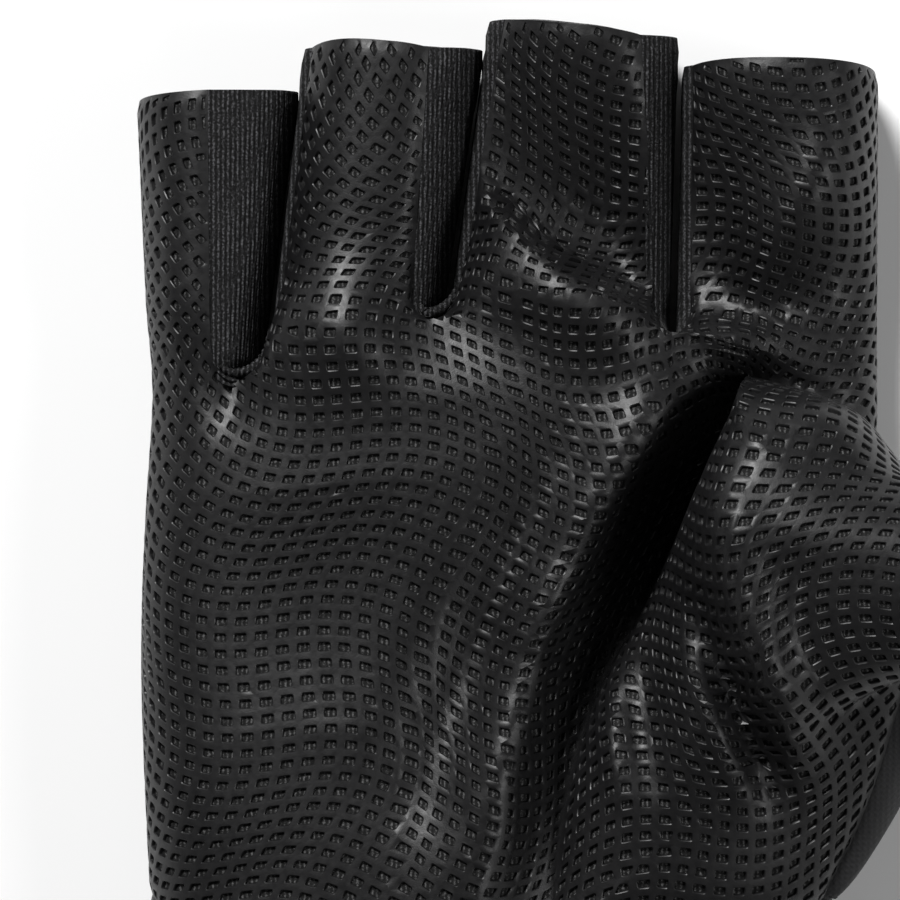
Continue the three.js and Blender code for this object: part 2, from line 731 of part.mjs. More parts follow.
// Collects the outward direction of every point of the whole skin
function skinNormals(pieces) {
  const normals = new Map();
  for (const piece of pieces) {
    for (const triangle of piece.triangles) {
      if (new Set(triangle.map(keyOf)).size < 3) continue;
      const normal = faceNormal(triangle);
      triangle.forEach((point, corner) => {
        const key = keyOf(point);
        if (!normals.has(key)) normals.set(key, new THREE.Vector3());
        normals.get(key).addScaledVector(normal, cornerAngle(triangle, corner));
      });
    }
  }
  for (const normal of normals.values()) normal.normalize();
  return normals;
}

// Gives a piece of skin its wall: the outside, the inside and the edge faces between
function wallGeometry(piece, normals) {
  const index = new Map();
  const points = [];
  const faces = [];
  for (const triangle of piece.triangles) {
    const face = triangle.map((point) => {
      const key = keyOf(point);
      if (!index.has(key)) {
        index.set(key, points.length);
        points.push({ outer: point.clone(), normal: normals.get(key), pull: new THREE.Vector3() });
      }
      return index.get(key);
    });
    if (new Set(face).size === 3) faces.push(face);
  }
  const borders = new Map();
  for (const [a, b, c] of faces) {
    for (const [from, to] of [[a, b], [b, c], [c, a]]) {
      if (borders.has(`${to} ${from}`)) borders.delete(`${to} ${from}`);
      else borders.set(`${from} ${to}`, [from, to]);
    }
  }
  for (const [from, to] of borders.values()) {
    const run = points[to].outer.clone().sub(points[from].outer).normalize();
    for (const end of [from, to]) {
      points[end].pull.add(points[end].normal.clone().cross(run).normalize());
    }
  }
  const positions = [];
  const shifted = points.map((point) => {
    const outer = point.outer.clone();
    if (point.pull.lengthSq() > 0) outer.addScaledVector(point.pull.normalize(), seamGap / 2);
    outer.z = Math.max(outer.z, 0);
    return outer;
  });
  for (const outer of shifted) positions.push(outer.x, outer.y, outer.z);
  shifted.forEach((outer, i) => {
    const inner = outer.clone().addScaledVector(points[i].normal, -piece.wall);
    positions.push(inner.x, inner.y, inner.z);
  });
  const count = points.length;
  const indices = [];
  for (const [a, b, c] of faces) indices.push(a, b, c, c + count, b + count, a + count);
  for (const [from, to] of borders.values()) {
    // Both pieces at a seam split its edge faces along the same diagonal
    if (keyOf(points[from].outer) < keyOf(points[to].outer)) {
      indices.push(to, from, from + count, to, from + count, to + count);
    } else {
      indices.push(to, from, to + count, from, from + count, to + count);
    }
  }
  const geometry = new THREE.BufferGeometry();
  geometry.setAttribute('position', new THREE.Float32BufferAttribute(positions, 3));
  geometry.setIndex(indices);
  geometry.computeVertexNormals();
  return geometry;
}

// Materials
const leather = new THREE.MeshStandardMaterial({ color: 0x1b1b1d, roughness: 0.42, metalness: 0 });
const knit = new THREE.MeshStandardMaterial({ color: 0x202124, roughness: 0.9, metalness: 0 });
const cloth = new THREE.MeshStandardMaterial({ color: 0x26272b, roughness: 0.85, metalness: 0 });

// Pieces
const thumbFront = thumbFrontPatch();
const pieces = [
  { name: 'palm_panel', wall: leatherWall, material: leather,
    patches: [...palmPatches(), ...[0, 1, 2, 3].map(frontStubPatch)] },
  { name: 'thumb_front', wall: leatherWall, material: leather, patches: [thumbFront] },
  { name: 'thumb_back', wall: clothWall, material: cloth, flip: true,
    patches: [thumbBackPatch(thumbFront)] },
  { name: 'back_panel', wall: clothWall, material: cloth, flip: true,
    patches: [backPatch(), ...[0, 1, 2, 3].map(backStubPatch)] },
  { name: 'gusset_little_ring', wall: knitWall, material: knit, patches: [gussetPatch(1)], flip: true },
  { name: 'gusset_ring_middle', wall: knitWall, material: knit, patches: [gussetPatch(2)], flip: true },
  { name: 'gusset_middle_index', wall: knitWall, material: knit, patches: [gussetPatch(3)], flip: true },
  { name: 'wrist_cuff', wall: cuffWall, material: cloth, patches: [cuffPatch()], flip: true },
];
for (const piece of pieces) {
  piece.triangles = piece.patches.flatMap((grid) => gridTriangles(grid, piece.flip));
}
const normals = skinNormals(pieces);

const group = new THREE.Group();
for (const piece of pieces) {
  const mesh = new THREE.Mesh(wallGeometry(piece, normals), piece.material);
  mesh.name = piece.name;
  group.add(mesh);
}

// The origin goes under the middle of the whole glove
const box = new THREE.Box3().setFromObject(group);
const centre = box.getCenter(new THREE.Vector3());
for (const mesh of group.children) mesh.position.set(-centre.x, -centre.y, -box.min.z);

export default group;
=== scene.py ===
import bpy
import bmesh
import numpy as np
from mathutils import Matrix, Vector
from mathutils.bvhtree import BVHTree
from mathutils.kdtree import KDTree


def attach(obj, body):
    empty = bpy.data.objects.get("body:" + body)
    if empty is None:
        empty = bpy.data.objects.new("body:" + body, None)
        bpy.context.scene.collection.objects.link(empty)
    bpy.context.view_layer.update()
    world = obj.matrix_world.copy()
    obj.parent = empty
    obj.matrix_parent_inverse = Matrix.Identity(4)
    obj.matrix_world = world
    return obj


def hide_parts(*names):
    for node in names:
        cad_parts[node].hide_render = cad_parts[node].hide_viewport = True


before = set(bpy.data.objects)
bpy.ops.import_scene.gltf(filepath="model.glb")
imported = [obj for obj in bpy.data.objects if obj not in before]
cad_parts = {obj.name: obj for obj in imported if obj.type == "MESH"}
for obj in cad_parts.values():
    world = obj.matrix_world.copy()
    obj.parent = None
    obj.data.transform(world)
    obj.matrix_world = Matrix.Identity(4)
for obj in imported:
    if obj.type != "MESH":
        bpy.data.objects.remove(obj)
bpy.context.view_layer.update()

# Lengths are in millimetres until a mesh is made. The skin of the glove is worked out from the
# same named sizes as the part's source, with finer steps, and each piece is dressed on it.
METRES = 0.001
# Added to a point to bring it into the part's own frame
PART_ORIGIN = np.array([-7.953, -58.543, 0.0])

# Driving sizes, as in the part's source
PALM_WIDTH = 96.0
FINGER_REACH = 136.0
HAND_DEPTH = 27.0
CUFF_LENGTH = 34.0
CUFF_WIDTH = 78.0
CUFF_DEPTH = 25.0
CUFF_SWELL = 1.3
THUMB_OPENING_WIDTH = 24.0
THUMB_OPENING_DEPTH = 27.0
THUMB_REACH = 61.0
THUMB_ALONG = 64.0
THUMB_HEIGHT = 25.0
LEATHER_WALL = 1.4
CLOTH_WALL = 1.2
KNIT_WALL = 1.0
CUFF_WALL = 1.8
HAND_ROUNDNESS = 2.6
FINGER_ROUNDNESS = 2.4
THUMB_ROUNDNESS = 2.2
SIDE_HEIGHT = 0.36
FINGER_SIDE_HEIGHT = 0.42
REST_FLATTENING = 1.6

# Counts of the source's own steps, and how many times finer they are here
COLUMNS_PER_FINGER = 7
BACK_COLUMNS_PER_FINGER = 4
PALM_ROWS = 18
ROWS_ABOVE_WEB = 2
CROTCH_ARC_STEPS = 3
FINGER_ROWS = 5
GUSSET_COLUMNS = 4
CUFF_SEGMENTS = 4
CUFF_ROWS = 5
THUMB_STEPS = 16
FINER = 4

# Shares, turns and reaches of the skin's forms, as in the part's source
WEB_SHARE = 0.955
FOLD_COLUMN = 0.637
FOLD_SLOPE = 0.085
CROTCH_ROUND = 0.1
FINGER_BLEND = 0.32
BACK_SLIT_SHIFT = 3.0
SLIT_DIP_TURN = 0.13
SLIT_DIP_START = 0.86
SLIT_REACH = 0.3
FOLD_STEPS = 40
FOLD_END_SHARE = 0.45
BACK_SEAM_TURN = 0.5
CUFF_TOP = 15.0
CUFF_SIDE_RISE = 8.0
CUFF_SIDE_POWER = 4
# How much sooner the thumb's edge has gone up the hand than round the cuff's corner
CORNER_LEAD = 1.4
OPENING_SEAM_TURN = 106.0
OPENING_WEB_TURN = -104.0
OPENING_LEAN_ALONG = 0.22
OPENING_LEAN_UP = -0.1
THUMB_BELLY = 5.0
# The cloth below the thumb's sewn edge stands out this far, in this direction seen from above
THUMB_BAND_SWELL = 4.2
THUMB_BAND_TURN = -0.32
THUMB_FADE_ROWS = 4
THUMB_SEAM_SHARE = 0.3
EDGE_ROUNDING = 4


def columns(names, *rows):
    """A table with named columns."""
    return dict(zip(names.split(), np.array(rows, float).T))


HAND_SECTIONS = columns(
    "along left right rise waist fold",
    (0.10, -0.482, 0.385, 0.93, 0.750, 0.10),
    (0.239, -0.492, 0.480, 0.98, 0.704, 0.26),
    (0.353, -0.498, 0.488, 1.00, 0.755, 0.44),
    (0.449, -0.498, 0.490, 1.02, 0.842, 0.60),
    (0.544, -0.492, 0.494, 1.02, 0.920, 0.64),
    (0.640, -0.484, 0.497, 1.00, 1.000, 0.42),
    (0.720, -0.487, 0.497, 0.96, 1.000, 0.00),
)
# From the little finger's outer side to the index finger's
SLIT_POINTS = columns(
    "across along dip",
    (-0.487, 0.640, 0.00),
    (-0.368, 0.661, 0.10),
    (-0.108, 0.718, 0.10),
    (0.219, 0.705, 0.12),
    (0.497, 0.620, 0.00),
)
# Each finger stub at its base and at its open top
FINGER_COLUMNS = "left right leather_left leather_right rise"
FINGER_SECTIONS = {
    "little": columns(FINGER_COLUMNS, (-0.487, -0.3365, -0.487, -0.403, 0.80),
                      (-0.505, -0.2835, -0.505, -0.406, 0.80)),
    "ring": columns(FINGER_COLUMNS, (-0.331, -0.0925, -0.325, -0.132, 0.92),
                    (-0.2795, -0.0345, -0.270, -0.108, 0.92)),
    "middle": columns(FINGER_COLUMNS, (-0.087, 0.2165, -0.075, 0.196, 0.84),
                      (-0.0305, 0.2285, -0.011, 0.177, 0.96)),
    "index": columns(FINGER_COLUMNS, (0.222, 0.497, 0.240, 0.497, 0.74),
                     (0.2325, 0.497, 0.242, 0.497, 0.96)),
}
FINGER_TOPS = {
    "little": (0.923, 0.929, 0.933),
    "ring": (0.974, 0.981, 0.972),
    "middle": (1.000, 0.995, 0.984),
    "index": (0.957, 0.962, 0.948),
}
FINGER_NAMES = ("little", "ring", "middle", "index")
GUSSETS = ("gusset_little_ring", "gusset_ring_middle", "gusset_middle_index")
FOLD_COLUMNS = "x0 y0 x1 y1 x2 y2 width height"
# Upper and lower thumb ridge, dent beside it, lip over the middle finger, pads of the ring and
# middle fingers, hollow of the palm, crease to the cuff
PALM_FOLDS = columns(
    FOLD_COLUMNS,
    (0.280, 0.672, 0.120, 0.560, 0.045, 0.440, 0.060, 0.22),
    (0.045, 0.440, 0.015, 0.300, -0.075, 0.140, 0.055, 0.22),
    (0.080, 0.560, -0.035, 0.430, -0.120, 0.280, 0.065, -0.15),
    (-0.045, 0.810, 0.060, 0.728, 0.270, 0.690, 0.065, 0.19),
    (-0.290, 0.705, -0.220, 0.700, -0.150, 0.700, 0.075, 0.14),
    (-0.250, 0.560, -0.230, 0.450, -0.220, 0.330, 0.190, -0.10),
    (-0.030, 0.260, -0.060, 0.200, -0.090, 0.120, 0.035, -0.06),
    (0.450, 0.880, 0.350, 0.800, 0.290, 0.720, 0.055, 0.14),
    (0.520, 0.800, 0.460, 0.740, 0.420, 0.660, 0.060, -0.08),
)
# The leather drops away beyond a lip that runs slantwise over the middle finger's base
PALM_LIP = columns(
    "across along drop",
    (-0.090, 0.870, 0.00),
    (-0.027, 0.822, 0.22),
    (0.068, 0.760, 0.34),
    (0.176, 0.722, 0.38),
    (0.250, 0.704, 0.36),
    (0.331, 0.700, 0.18),
    (0.440, 0.700, 0.00),
)
LIP_STEP = 3.4
LIP_REACH = 36.0
# Bright fold, crease below it, short fold in the hollow, hollow of the thumb
THUMB_FOLDS = columns(
    FOLD_COLUMNS,
    (0.275, 0.545, 0.322, 0.375, 0.412, 0.285, 0.038, 0.16),
    (0.250, 0.440, 0.300, 0.345, 0.350, 0.270, 0.030, -0.22),
    (0.250, 0.385, 0.280, 0.335, 0.318, 0.270, 0.022, 0.09),
    (0.140, 0.435, 0.105, 0.355, 0.150, 0.275, 0.026, 0.13),
    (0.190, 0.480, 0.185, 0.392, 0.176, 0.290, 0.042, -0.20),
)
THUMB_FAN = columns(
    "at x y z turn pull",
    (0.00, 0.050, 0.080, 0.10, 0.00, 0.160),
    (0.09, 0.010, 0.110, 0.34, 0.07, 0.190),
    (0.19, 0.030, 0.060, 0.34, 0.17, 0.230),
    (0.36, 0.050, 0.020, 0.56, 0.34, 0.240),
    (0.53, 0.010, 0.000, 0.92, 0.50, 0.250),
    (0.64, -0.065, -0.015, 1.14, 0.60, 0.260),
    (0.73, -0.095, 0.010, 1.03, 0.68, 0.270),
    (0.82, -0.060, 0.030, 0.88, 0.77, 0.250),
    (0.91, 0.000, 0.020, 0.82, 0.86, 0.180),
    (1.00, 0.080, -0.050, 0.40, 1.00, 0.080),
)
THUMB_SEAM = columns(
    "across along height",
    (0.423, 0.162, 0.50),
    (0.467, 0.229, 0.62),
    (0.500, 0.296, 0.78),
    (0.528, 0.363, 0.88),
    (0.562, 0.405, 0.90),
)

# Perforated leather. The grid of holes is a plain one that two waves bend.
HOLE_PITCH_ACROSS = 2.5
HOLE_PITCH_ALONG = 2.05
LAND_ACROSS = 0.82
LAND_ALONG = 0.80
HOLE_CORNER = 0.28
HOLE_BEVEL = 0.10
HOLE_DRAFT = 0.17
SHEET_DEPTH = 0.62
BACKING_DEPTH = 0.50
LAND_SAG = 0.02
GRID_TURN = -8.0
WAVE_LENGTH = 43.0
WAVE_ACROSS = 2.3
WAVE_ALONG = 2.7
# Places of the waves' crests: along the hand for the columns, across it for the rows
WAVE_CREST_ALONG = 80.0
WAVE_CREST_ACROSS = -10.0
HOLE_BORDER = 0.15
# Depths of the hole's wall, from the land to the underside: how far in and how far down
HOLE_LEVELS = ((0.0, LAND_SAG), (HOLE_BEVEL, HOLE_BEVEL + LAND_SAG), (HOLE_DRAFT, SHEET_DEPTH))
RING_POINTS = 12
# Places round a cell, in half cells from its lower left corner
CELL_OUTLINE = ((0, 0), (1, 0), (2, 0), (2, 1), (2, 2), (1, 2), (0, 2), (0, 1))
CELL_MARGIN = 3.0
OUTSIDE_LIMIT = 1e-4
# A whole hole, then the cut ones that fit beside a border. Shifts are shares of the grid's pitch.
HOLE_FORMS = columns(
    "wide high across along",
    (1.00, 1.00, 0.00, 0.00),
    (0.82, 0.82, 0.00, 0.00),
    (0.60, 1.00, 0.19, 0.00),
    (0.60, 1.00, -0.19, 0.00),
    (1.00, 0.60, 0.00, 0.18),
    (1.00, 0.60, 0.00, -0.18),
    (0.35, 1.00, 0.27, 0.00),
    (0.35, 1.00, -0.27, 0.00),
    (0.60, 0.60, 0.19, 0.18),
    (0.60, 0.60, 0.19, -0.18),
    (0.60, 0.60, -0.19, 0.18),
    (0.60, 0.60, -0.19, -0.18),
    (1.00, 0.35, 0.00, 0.26),
    (1.00, 0.35, 0.00, -0.26),
    (0.50, 0.50, 0.00, 0.00),
)
FORM_SCALES = np.stack([HOLE_FORMS["wide"], HOLE_FORMS["high"]], axis=1)
FORM_SHIFTS = np.stack([HOLE_FORMS["across"], HOLE_FORMS["along"]], axis=1)

# Depth of a piece's surface at its seams, and how far from the seam it starts
SEAM_DIP, SEAM_DIP_REACH = 0.35, 0.9
CLOTH_DIP, CLOTH_DIP_REACH = 0.4, 1.1
KNIT_DIP, KNIT_DIP_REACH = 0.25, 0.5

# Knit side walls
# Length round a side wall that the ribs' steps are counted over, and where they are laid out
GUSSET_SECTION = 22.0
RIB_LAYOUT_SHARE = 0.6
RIB_LAYOUT_PLACES = 200
RIB_PITCH = 0.62
RIB_HEIGHT = 0.19
RIB_STEPS = 6
HEM_WIDTH = 7.0
HEM_STEP = 0.16
HEM_SLOPE = 0.5
HEM_CREASE = 0.14
CREASE_SHIFT = 0.4
CREASE_REACH = 0.35
KNIT_EXTRA_DEPTH = 0.2
RIM_RADIUS = 0.62
RIM_SIDES = 12
RIM_STATIONS = 130
RIM_BEFORE = 3.0
RIM_AFTER = 10.0
RIM_PITCH = 0.95
RIM_GATHER = 0.16
RIM_END_SHARE = 0.15
# Shares of the rim's radius that it lies in from the border and down
RIM_INWARD = 0.9
RIM_SINK = 0.5

# Angles in degrees above which an edge is shaded sharp
SHELL_SHARP = 50
RIB_SHARP = 80
RIM_SHARP = 60
SHEET_SHARP = 34

TINY = 1e-12
WELD_STEPS_PER_MM = 1000
CLEAN_DISTANCE = 0.004
BORDER_SHARES = (0.0, 0.25, 0.5, 0.75)
FLATTEN_ITERATIONS = 20


# Small tools
def lerp(a, b, t):
    return a + (b - a) * t


def smooth(t):
    s = np.clip(t, 0, 1)
    return s * s * (3 - 2 * s)


def power(value, exponent):
    return np.sign(value) * np.abs(value) ** exponent


def super_cos(angle, roundness):
    return power(np.cos(angle), 2 / roundness)


def super_sin(angle, roundness):
    return power(np.sin(angle), 2 / roundness)


def angle_of_cos(share, roundness):
    return np.arccos(power(np.clip(share, -1, 1), roundness / 2))


def curve(table, place_key, key, place):
    """Value of a named column at a place, on a smooth curve through the rows."""
    at, values = table[place_key], table[key]
    last = len(at) - 1
    place = np.asarray(place, float)
    i = np.searchsorted(at[1:last], place, side="left")
    low, high = np.maximum(np.arange(last + 1) - 1, 0), np.minimum(np.arange(last + 1) + 1, last)
    slopes = (values[high] - values[low]) / (at[high] - at[low])
    gap = at[i + 1] - at[i]
    t = np.clip((place - at[i]) / gap, 0, 1)
    h = smooth(t)
    bend = gap * t * (1 - t) * ((1 - t) * slopes[i] - t * slopes[i + 1])
    return values[i] * (1 - h) + values[i + 1] * h + bend


def spread(values, factor):
    """The same list with factor times as many steps."""
    last = len(values) - 1
    return np.interp(np.linspace(0, last, last * factor + 1), np.arange(last + 1), values)


def steps(count, factor):
    return np.linspace(0, count, count * factor + 1)


def point(x, y, z):
    return np.stack(np.broadcast_arrays(x, y, z), axis=-1).astype(float)


def fold_height(folds, x, y):
    """Sum of the folds at a point seen from above."""
    total = np.zeros(np.broadcast(x, y).shape)
    for k in range(len(folds["width"])):
        fold = {key: folds[key][k] for key in folds}
        nearest = np.full(total.shape, np.inf)
        taper = np.zeros(total.shape)
        for t in np.linspace(0, 1, FOLD_STEPS + 1):
            px = (1 - t) ** 2 * fold["x0"] + 2 * t * (1 - t) * fold["x1"] + t * t * fold["x2"]
            py = (1 - t) ** 2 * fold["y0"] + 2 * t * (1 - t) * fold["y1"] + t * t * fold["y2"]
            distance = np.hypot(x - px * PALM_WIDTH, y - py * FINGER_REACH)
            closer = distance < nearest
            nearest = np.where(closer, distance, nearest)
            taper = np.where(closer, lerp(FOLD_END_SHARE, 1, np.sin(np.pi * t)), taper)
        total += fold["height"] * HAND_DEPTH * taper * np.exp(-(nearest / (fold["width"] * PALM_WIDTH)) ** 2)
    return total


def palm_form(x, y):
    """Height of the palm's folds and lip at a point seen from above."""
    across = x / PALM_WIDTH
    beyond = y - FINGER_REACH * curve(PALM_LIP, "across", "along", across)
    drop = HAND_DEPTH * np.maximum(curve(PALM_LIP, "across", "drop", across), 0)
    return (fold_height(PALM_FOLDS, x, y)
            - drop * smooth(beyond / LIP_STEP) * (1 - smooth(beyond / LIP_REACH)))


# Hand section
FOLD_ANGLE = angle_of_cos(FOLD_COLUMN, HAND_ROUNDNESS)


def hand_extent(y):
    share = y / FINGER_REACH
    return (PALM_WIDTH * curve(HAND_SECTIONS, "along", "left", share),
            PALM_WIDTH * curve(HAND_SECTIONS, "along", "right", share),
            HAND_DEPTH * curve(HAND_SECTIONS, "along", "rise", share))


def front_point(angle, y, fold_along):
    left, right, rise = hand_extent(y)
    share = fold_along / FINGER_REACH
    waist = np.minimum(curve(HAND_SECTIONS, "along", "waist", share), 1)
    fold = np.maximum(curve(HAND_SECTIONS, "along", "fold", share), 0) * HAND_DEPTH
    half = (right - left) / 2 * waist
    x = left + half * (1 + super_cos(angle, HAND_ROUNDNESS))
    lift = super_sin(angle, HAND_ROUNDNESS)
    fold_x = left + half * (1 + FOLD_COLUMN)
    drop = fold * np.exp(-((fold_x - x) / (FOLD_SLOPE * PALM_WIDTH)) ** 2)
    folds = palm_form(x, y) - drop
    z = rise * (SIDE_HEIGHT + (1 - SIDE_HEIGHT) * lift) + folds * np.maximum(lift, 0)
    return point(x, y, z)


def back_point(angle, y):
    left, right, rise = hand_extent(y)
    half = (right - left) / 2
    x = left + half * (1 + super_cos(angle, HAND_ROUNDNESS))
    centre = rise * SIDE_HEIGHT
    z = centre + (centre + REST_FLATTENING) * super_sin(angle, HAND_ROUNDNESS)
    return point(x, y, np.maximum(z, 0))


# Finger section
def finger_extent(name, t):
    section = FINGER_SECTIONS[name]
    extent = {key: PALM_WIDTH * lerp(section[key][0], section[key][1], t) for key in section}
    extent["rise"] = HAND_DEPTH * lerp(section["rise"][0], section["rise"][1], smooth(t))
    return extent


def leather_angles(name, t):
    extent = finger_extent(name, t)
    centre = (extent["left"] + extent["right"]) / 2
    half = (extent["right"] - extent["left"]) / 2
    return (angle_of_cos((extent["leather_left"] - centre) / half, FINGER_ROUNDNESS),
            angle_of_cos((extent["leather_right"] - centre) / half, FINGER_ROUNDNESS))


def back_angles(name):
    return (-np.pi if name == "little" else -np.pi + BACK_SEAM_TURN,
            0.0 if name == "index" else -BACK_SEAM_TURN)


def finger_point(name, angle, t):
    extent = finger_extent(name, t)
    centre = (extent["left"] + extent["right"]) / 2
    half = (extent["right"] - extent["left"]) / 2
    x = centre + half * super_cos(angle, FINGER_ROUNDNESS)
    side = extent["rise"] * FINGER_SIDE_HEIGHT
    lift = super_sin(angle, FINGER_ROUNDNESS)
    z = side + np.where(lift > 0, extent["rise"] - side, side + REST_FLATTENING) * lift
    return x, np.maximum(z, 0)


def top_along(name, across):
    left, crown, right = FINGER_TOPS[name]
    crown_rise = crown - (left + right) / 2
    return FINGER_REACH * (lerp(left, right, across) + crown_rise * 4 * across * (1 - across))


def slit_turns():
    turns = [np.pi]
    for across, along in zip(SLIT_POINTS["across"][1:-1], SLIT_POINTS["along"][1:-1]):
        left, right, _ = hand_extent(along * FINGER_REACH)
        share = (across * PALM_WIDTH - left) / ((right - left) / 2) - 1
        turns.append(float(angle_of_cos(share, HAND_ROUNDNESS)))
    return np.array(turns + [0.0])


SLIT_ANGLES = slit_turns()
SLIT_ROWS = {"turn": np.pi - SLIT_ANGLES, "along": SLIT_POINTS["along"]}


def slit_along(angle):
    return FINGER_REACH * curve(SLIT_ROWS, "turn", "along", np.pi - angle)


def slit_dip(angle):
    dips = [HAND_DEPTH * dip * np.exp(-((angle - turn) / SLIT_DIP_TURN) ** 2)
            for dip, turn in zip(SLIT_POINTS["dip"], SLIT_ANGLES)]
    return sum(dips)


def column_angles(count):
    """Angles of the columns across the palm, count for each finger side by side."""
    angles = []
    for finger in range(4):
        part = np.linspace(SLIT_ANGLES[finger], SLIT_ANGLES[finger + 1], count + 1)
        angles.extend(part if finger == 0 else part[1:])
    return np.array(angles)


FRONT_ANGLES = column_angles(COLUMNS_PER_FINGER)
FOLD_INDEX = int(np.argmin(np.abs(FRONT_ANGLES - FOLD_ANGLE)))
FRONT_ANGLES[FOLD_INDEX] = FOLD_ANGLE
BACK_ANGLES = -column_angles(BACK_COLUMNS_PER_FINGER)
WEB_ROW = PALM_ROWS - ROWS_ABOVE_WEB
PALM_SHARES = np.concatenate([WEB_SHARE * np.arange(WEB_ROW + 1) / WEB_ROW,
                              lerp(WEB_SHARE, 1, np.arange(1, ROWS_ABOVE_WEB + 1) / ROWS_ABOVE_WEB)])


def cuff_along(angle):
    return CUFF_TOP + CUFF_SIDE_RISE * np.abs(np.cos(angle)) ** CUFF_SIDE_POWER


def front_row_along(angle, share):
    return lerp(cuff_along(angle), slit_along(angle), share)


def palm_point(angle, share):
    grid = front_point(angle, front_row_along(angle, share), front_row_along(FOLD_ANGLE, share))
    grid[..., 2] -= slit_dip(angle) * smooth((share - SLIT_DIP_START) / (1 - SLIT_DIP_START))
    return grid


def back_grid_point(angle, share):
    shift = BACK_SLIT_SHIFT * np.abs(np.sin(angle))
    return back_point(angle, lerp(cuff_along(angle), slit_along(-angle) - shift, share))


# Finger stubs
STUB_ROWS = CROTCH_ARC_STEPS + FINGER_ROWS


def stub_share(row):
    turn = np.pi / 2 * np.minimum(row, CROTCH_ARC_STEPS) / CROTCH_ARC_STEPS
    above = lerp(CROTCH_ROUND, 1, (row - CROTCH_ARC_STEPS) / FINGER_ROWS)
    return np.where(row <= CROTCH_ARC_STEPS, CROTCH_ROUND * (1 - np.cos(turn)), above)


def stub_weight(row):
    return np.sin(np.pi / 2 * np.minimum(row, CROTCH_ARC_STEPS) / CROTCH_ARC_STEPS)


def stub_point(name, row, base, angle, across, sharpness):
    t = stub_share(row)
    x, z = finger_point(name, angle, t)
    weight = lerp(smooth(t / FINGER_BLEND), stub_weight(row), sharpness)
    y = lerp(base[..., 1], top_along(name, across), t)
    return point(lerp(base[..., 0], x, weight), y, lerp(base[..., 2], z, weight))


def edge_sharpness(column, count, left_is_slit, right_is_slit):
    near = max(1.0, count * SLIT_REACH)
    left = np.maximum(0, 1 - column / near) * left_is_slit
    right = np.maximum(0, 1 - (count - column) / near) * right_is_slit
    return np.maximum(left, right) ** 2


# Patches of the skin, rows by columns
def palm_patches(fine):
    angles, shares = spread(FRONT_ANGLES, fine)[None, :], spread(PALM_SHARES, fine)[:, None]
    web = WEB_ROW * fine
    return [palm_point(angles[:, :FOLD_INDEX * fine + 1], shares[:web + 1]),
            palm_point(angles, shares[web:])]


def stub_parts(finger, fine, count, all_angles, place, turns):
    """A stub's rows, base turns, base, own turns and sharpness, and the grid that they give."""
    row, column = steps(STUB_ROWS, fine)[:, None], steps(count, fine)[None, :]
    first = finger * count * fine
    base_angles = spread(all_angles, fine)[first:first + column.size][None, :]
    base = place(base_angles, np.ones((1, 1)))
    left, right = turns(FINGER_NAMES[finger], stub_share(row))
    angle = lerp(left, right, column / count)
    sharpness = edge_sharpness(column, count, finger > 0, finger < 3)
    grid = stub_point(FINGER_NAMES[finger], row, base, angle, column / count, sharpness)
    return row, base_angles, base, angle, sharpness, grid


def front_stub_patch(finger, fine):
    row, base_angles, base, angle, sharpness, grid = stub_parts(
        finger, fine, COLUMNS_PER_FINGER, FRONT_ANGLES, palm_point, leather_angles)
    # The palm's folds run on over the stub, apart from the sides of the slits
    own_form = smooth(stub_share(row) / FINGER_BLEND)
    weight = lerp(own_form, stub_weight(row), sharpness)
    palm_lift = np.maximum(super_sin(base_angles, HAND_ROUNDNESS), 0)
    lift = lerp(palm_lift, np.maximum(super_sin(angle, FINGER_ROUNDNESS), 0), own_form)
    carried = palm_form(base[..., 0], base[..., 1]) * palm_lift * (1 - weight)
    here = palm_form(grid[..., 0], grid[..., 1]) * lift
    grid[..., 2] += (here - carried) * (1 - sharpness)
    return grid


def back_stub_patch(finger, fine):
    return stub_parts(finger, fine, BACK_COLUMNS_PER_FINGER, BACK_ANGLES, back_grid_point,
                      lambda name, _: back_angles(name))[-1]


def even_depth(slit, depth):
    """The same places across a side wall, spaced evenly along its section."""
    lower, upper = FINGER_NAMES[slit - 1], FINGER_NAMES[slit]
    places = np.linspace(0, 1, RIB_LAYOUT_PLACES)
    t = RIB_LAYOUT_SHARE
    found = []
    for name, start, end in ((lower, leather_angles(lower, t)[1], back_angles(lower)[1]),
                             (upper, leather_angles(upper, t)[0], back_angles(upper)[0] + 2 * np.pi)):
        x, z = finger_point(name, lerp(start, end, places), t)
        length = np.concatenate([[0], np.hypot(np.diff(x), np.diff(z)).cumsum()])
        found.append(np.interp(depth, length / length[-1], places))
    return np.mean(found, axis=0)


def gusset_patch(slit, fine, depth_steps):
    lower, upper = FINGER_NAMES[slit - 1], FINGER_NAMES[slit]
    front = palm_point(SLIT_ANGLES[slit], 1.0)
    back = back_grid_point(-SLIT_ANGLES[slit], 1.0)
    depth = np.linspace(0, 1, depth_steps + 1)
    if depth_steps > GUSSET_COLUMNS:
        depth = even_depth(slit, depth)
    depth = depth[None, :]
    base = lerp(front, back, depth[..., None])
    row = steps(STUB_ROWS, fine)[:, None]
    _, lower_front = leather_angles(lower, stub_share(row))
    lower_side = stub_point(lower, row, base, lerp(lower_front, back_angles(lower)[1], depth), 1.0, 1.0)
    upper_front, _ = leather_angles(upper, stub_share(row))
    end = back_angles(upper)[0] + 2 * np.pi
    upper_side = stub_point(upper, row, base, lerp(upper_front, end, depth), 0.0, 1.0)
    return np.concatenate([lower_side[:0:-1], upper_side])


def back_patch(fine):
    return back_grid_point(spread(BACK_ANGLES, fine)[None, :], spread(PALM_SHARES, fine)[:, None])


# Thumb
def cuff_corner():
    return back_grid_point(0.0, 0.0)


EDGE_LAST = CUFF_SEGMENTS + WEB_ROW + len(FRONT_ANGLES) - 1 - FOLD_INDEX


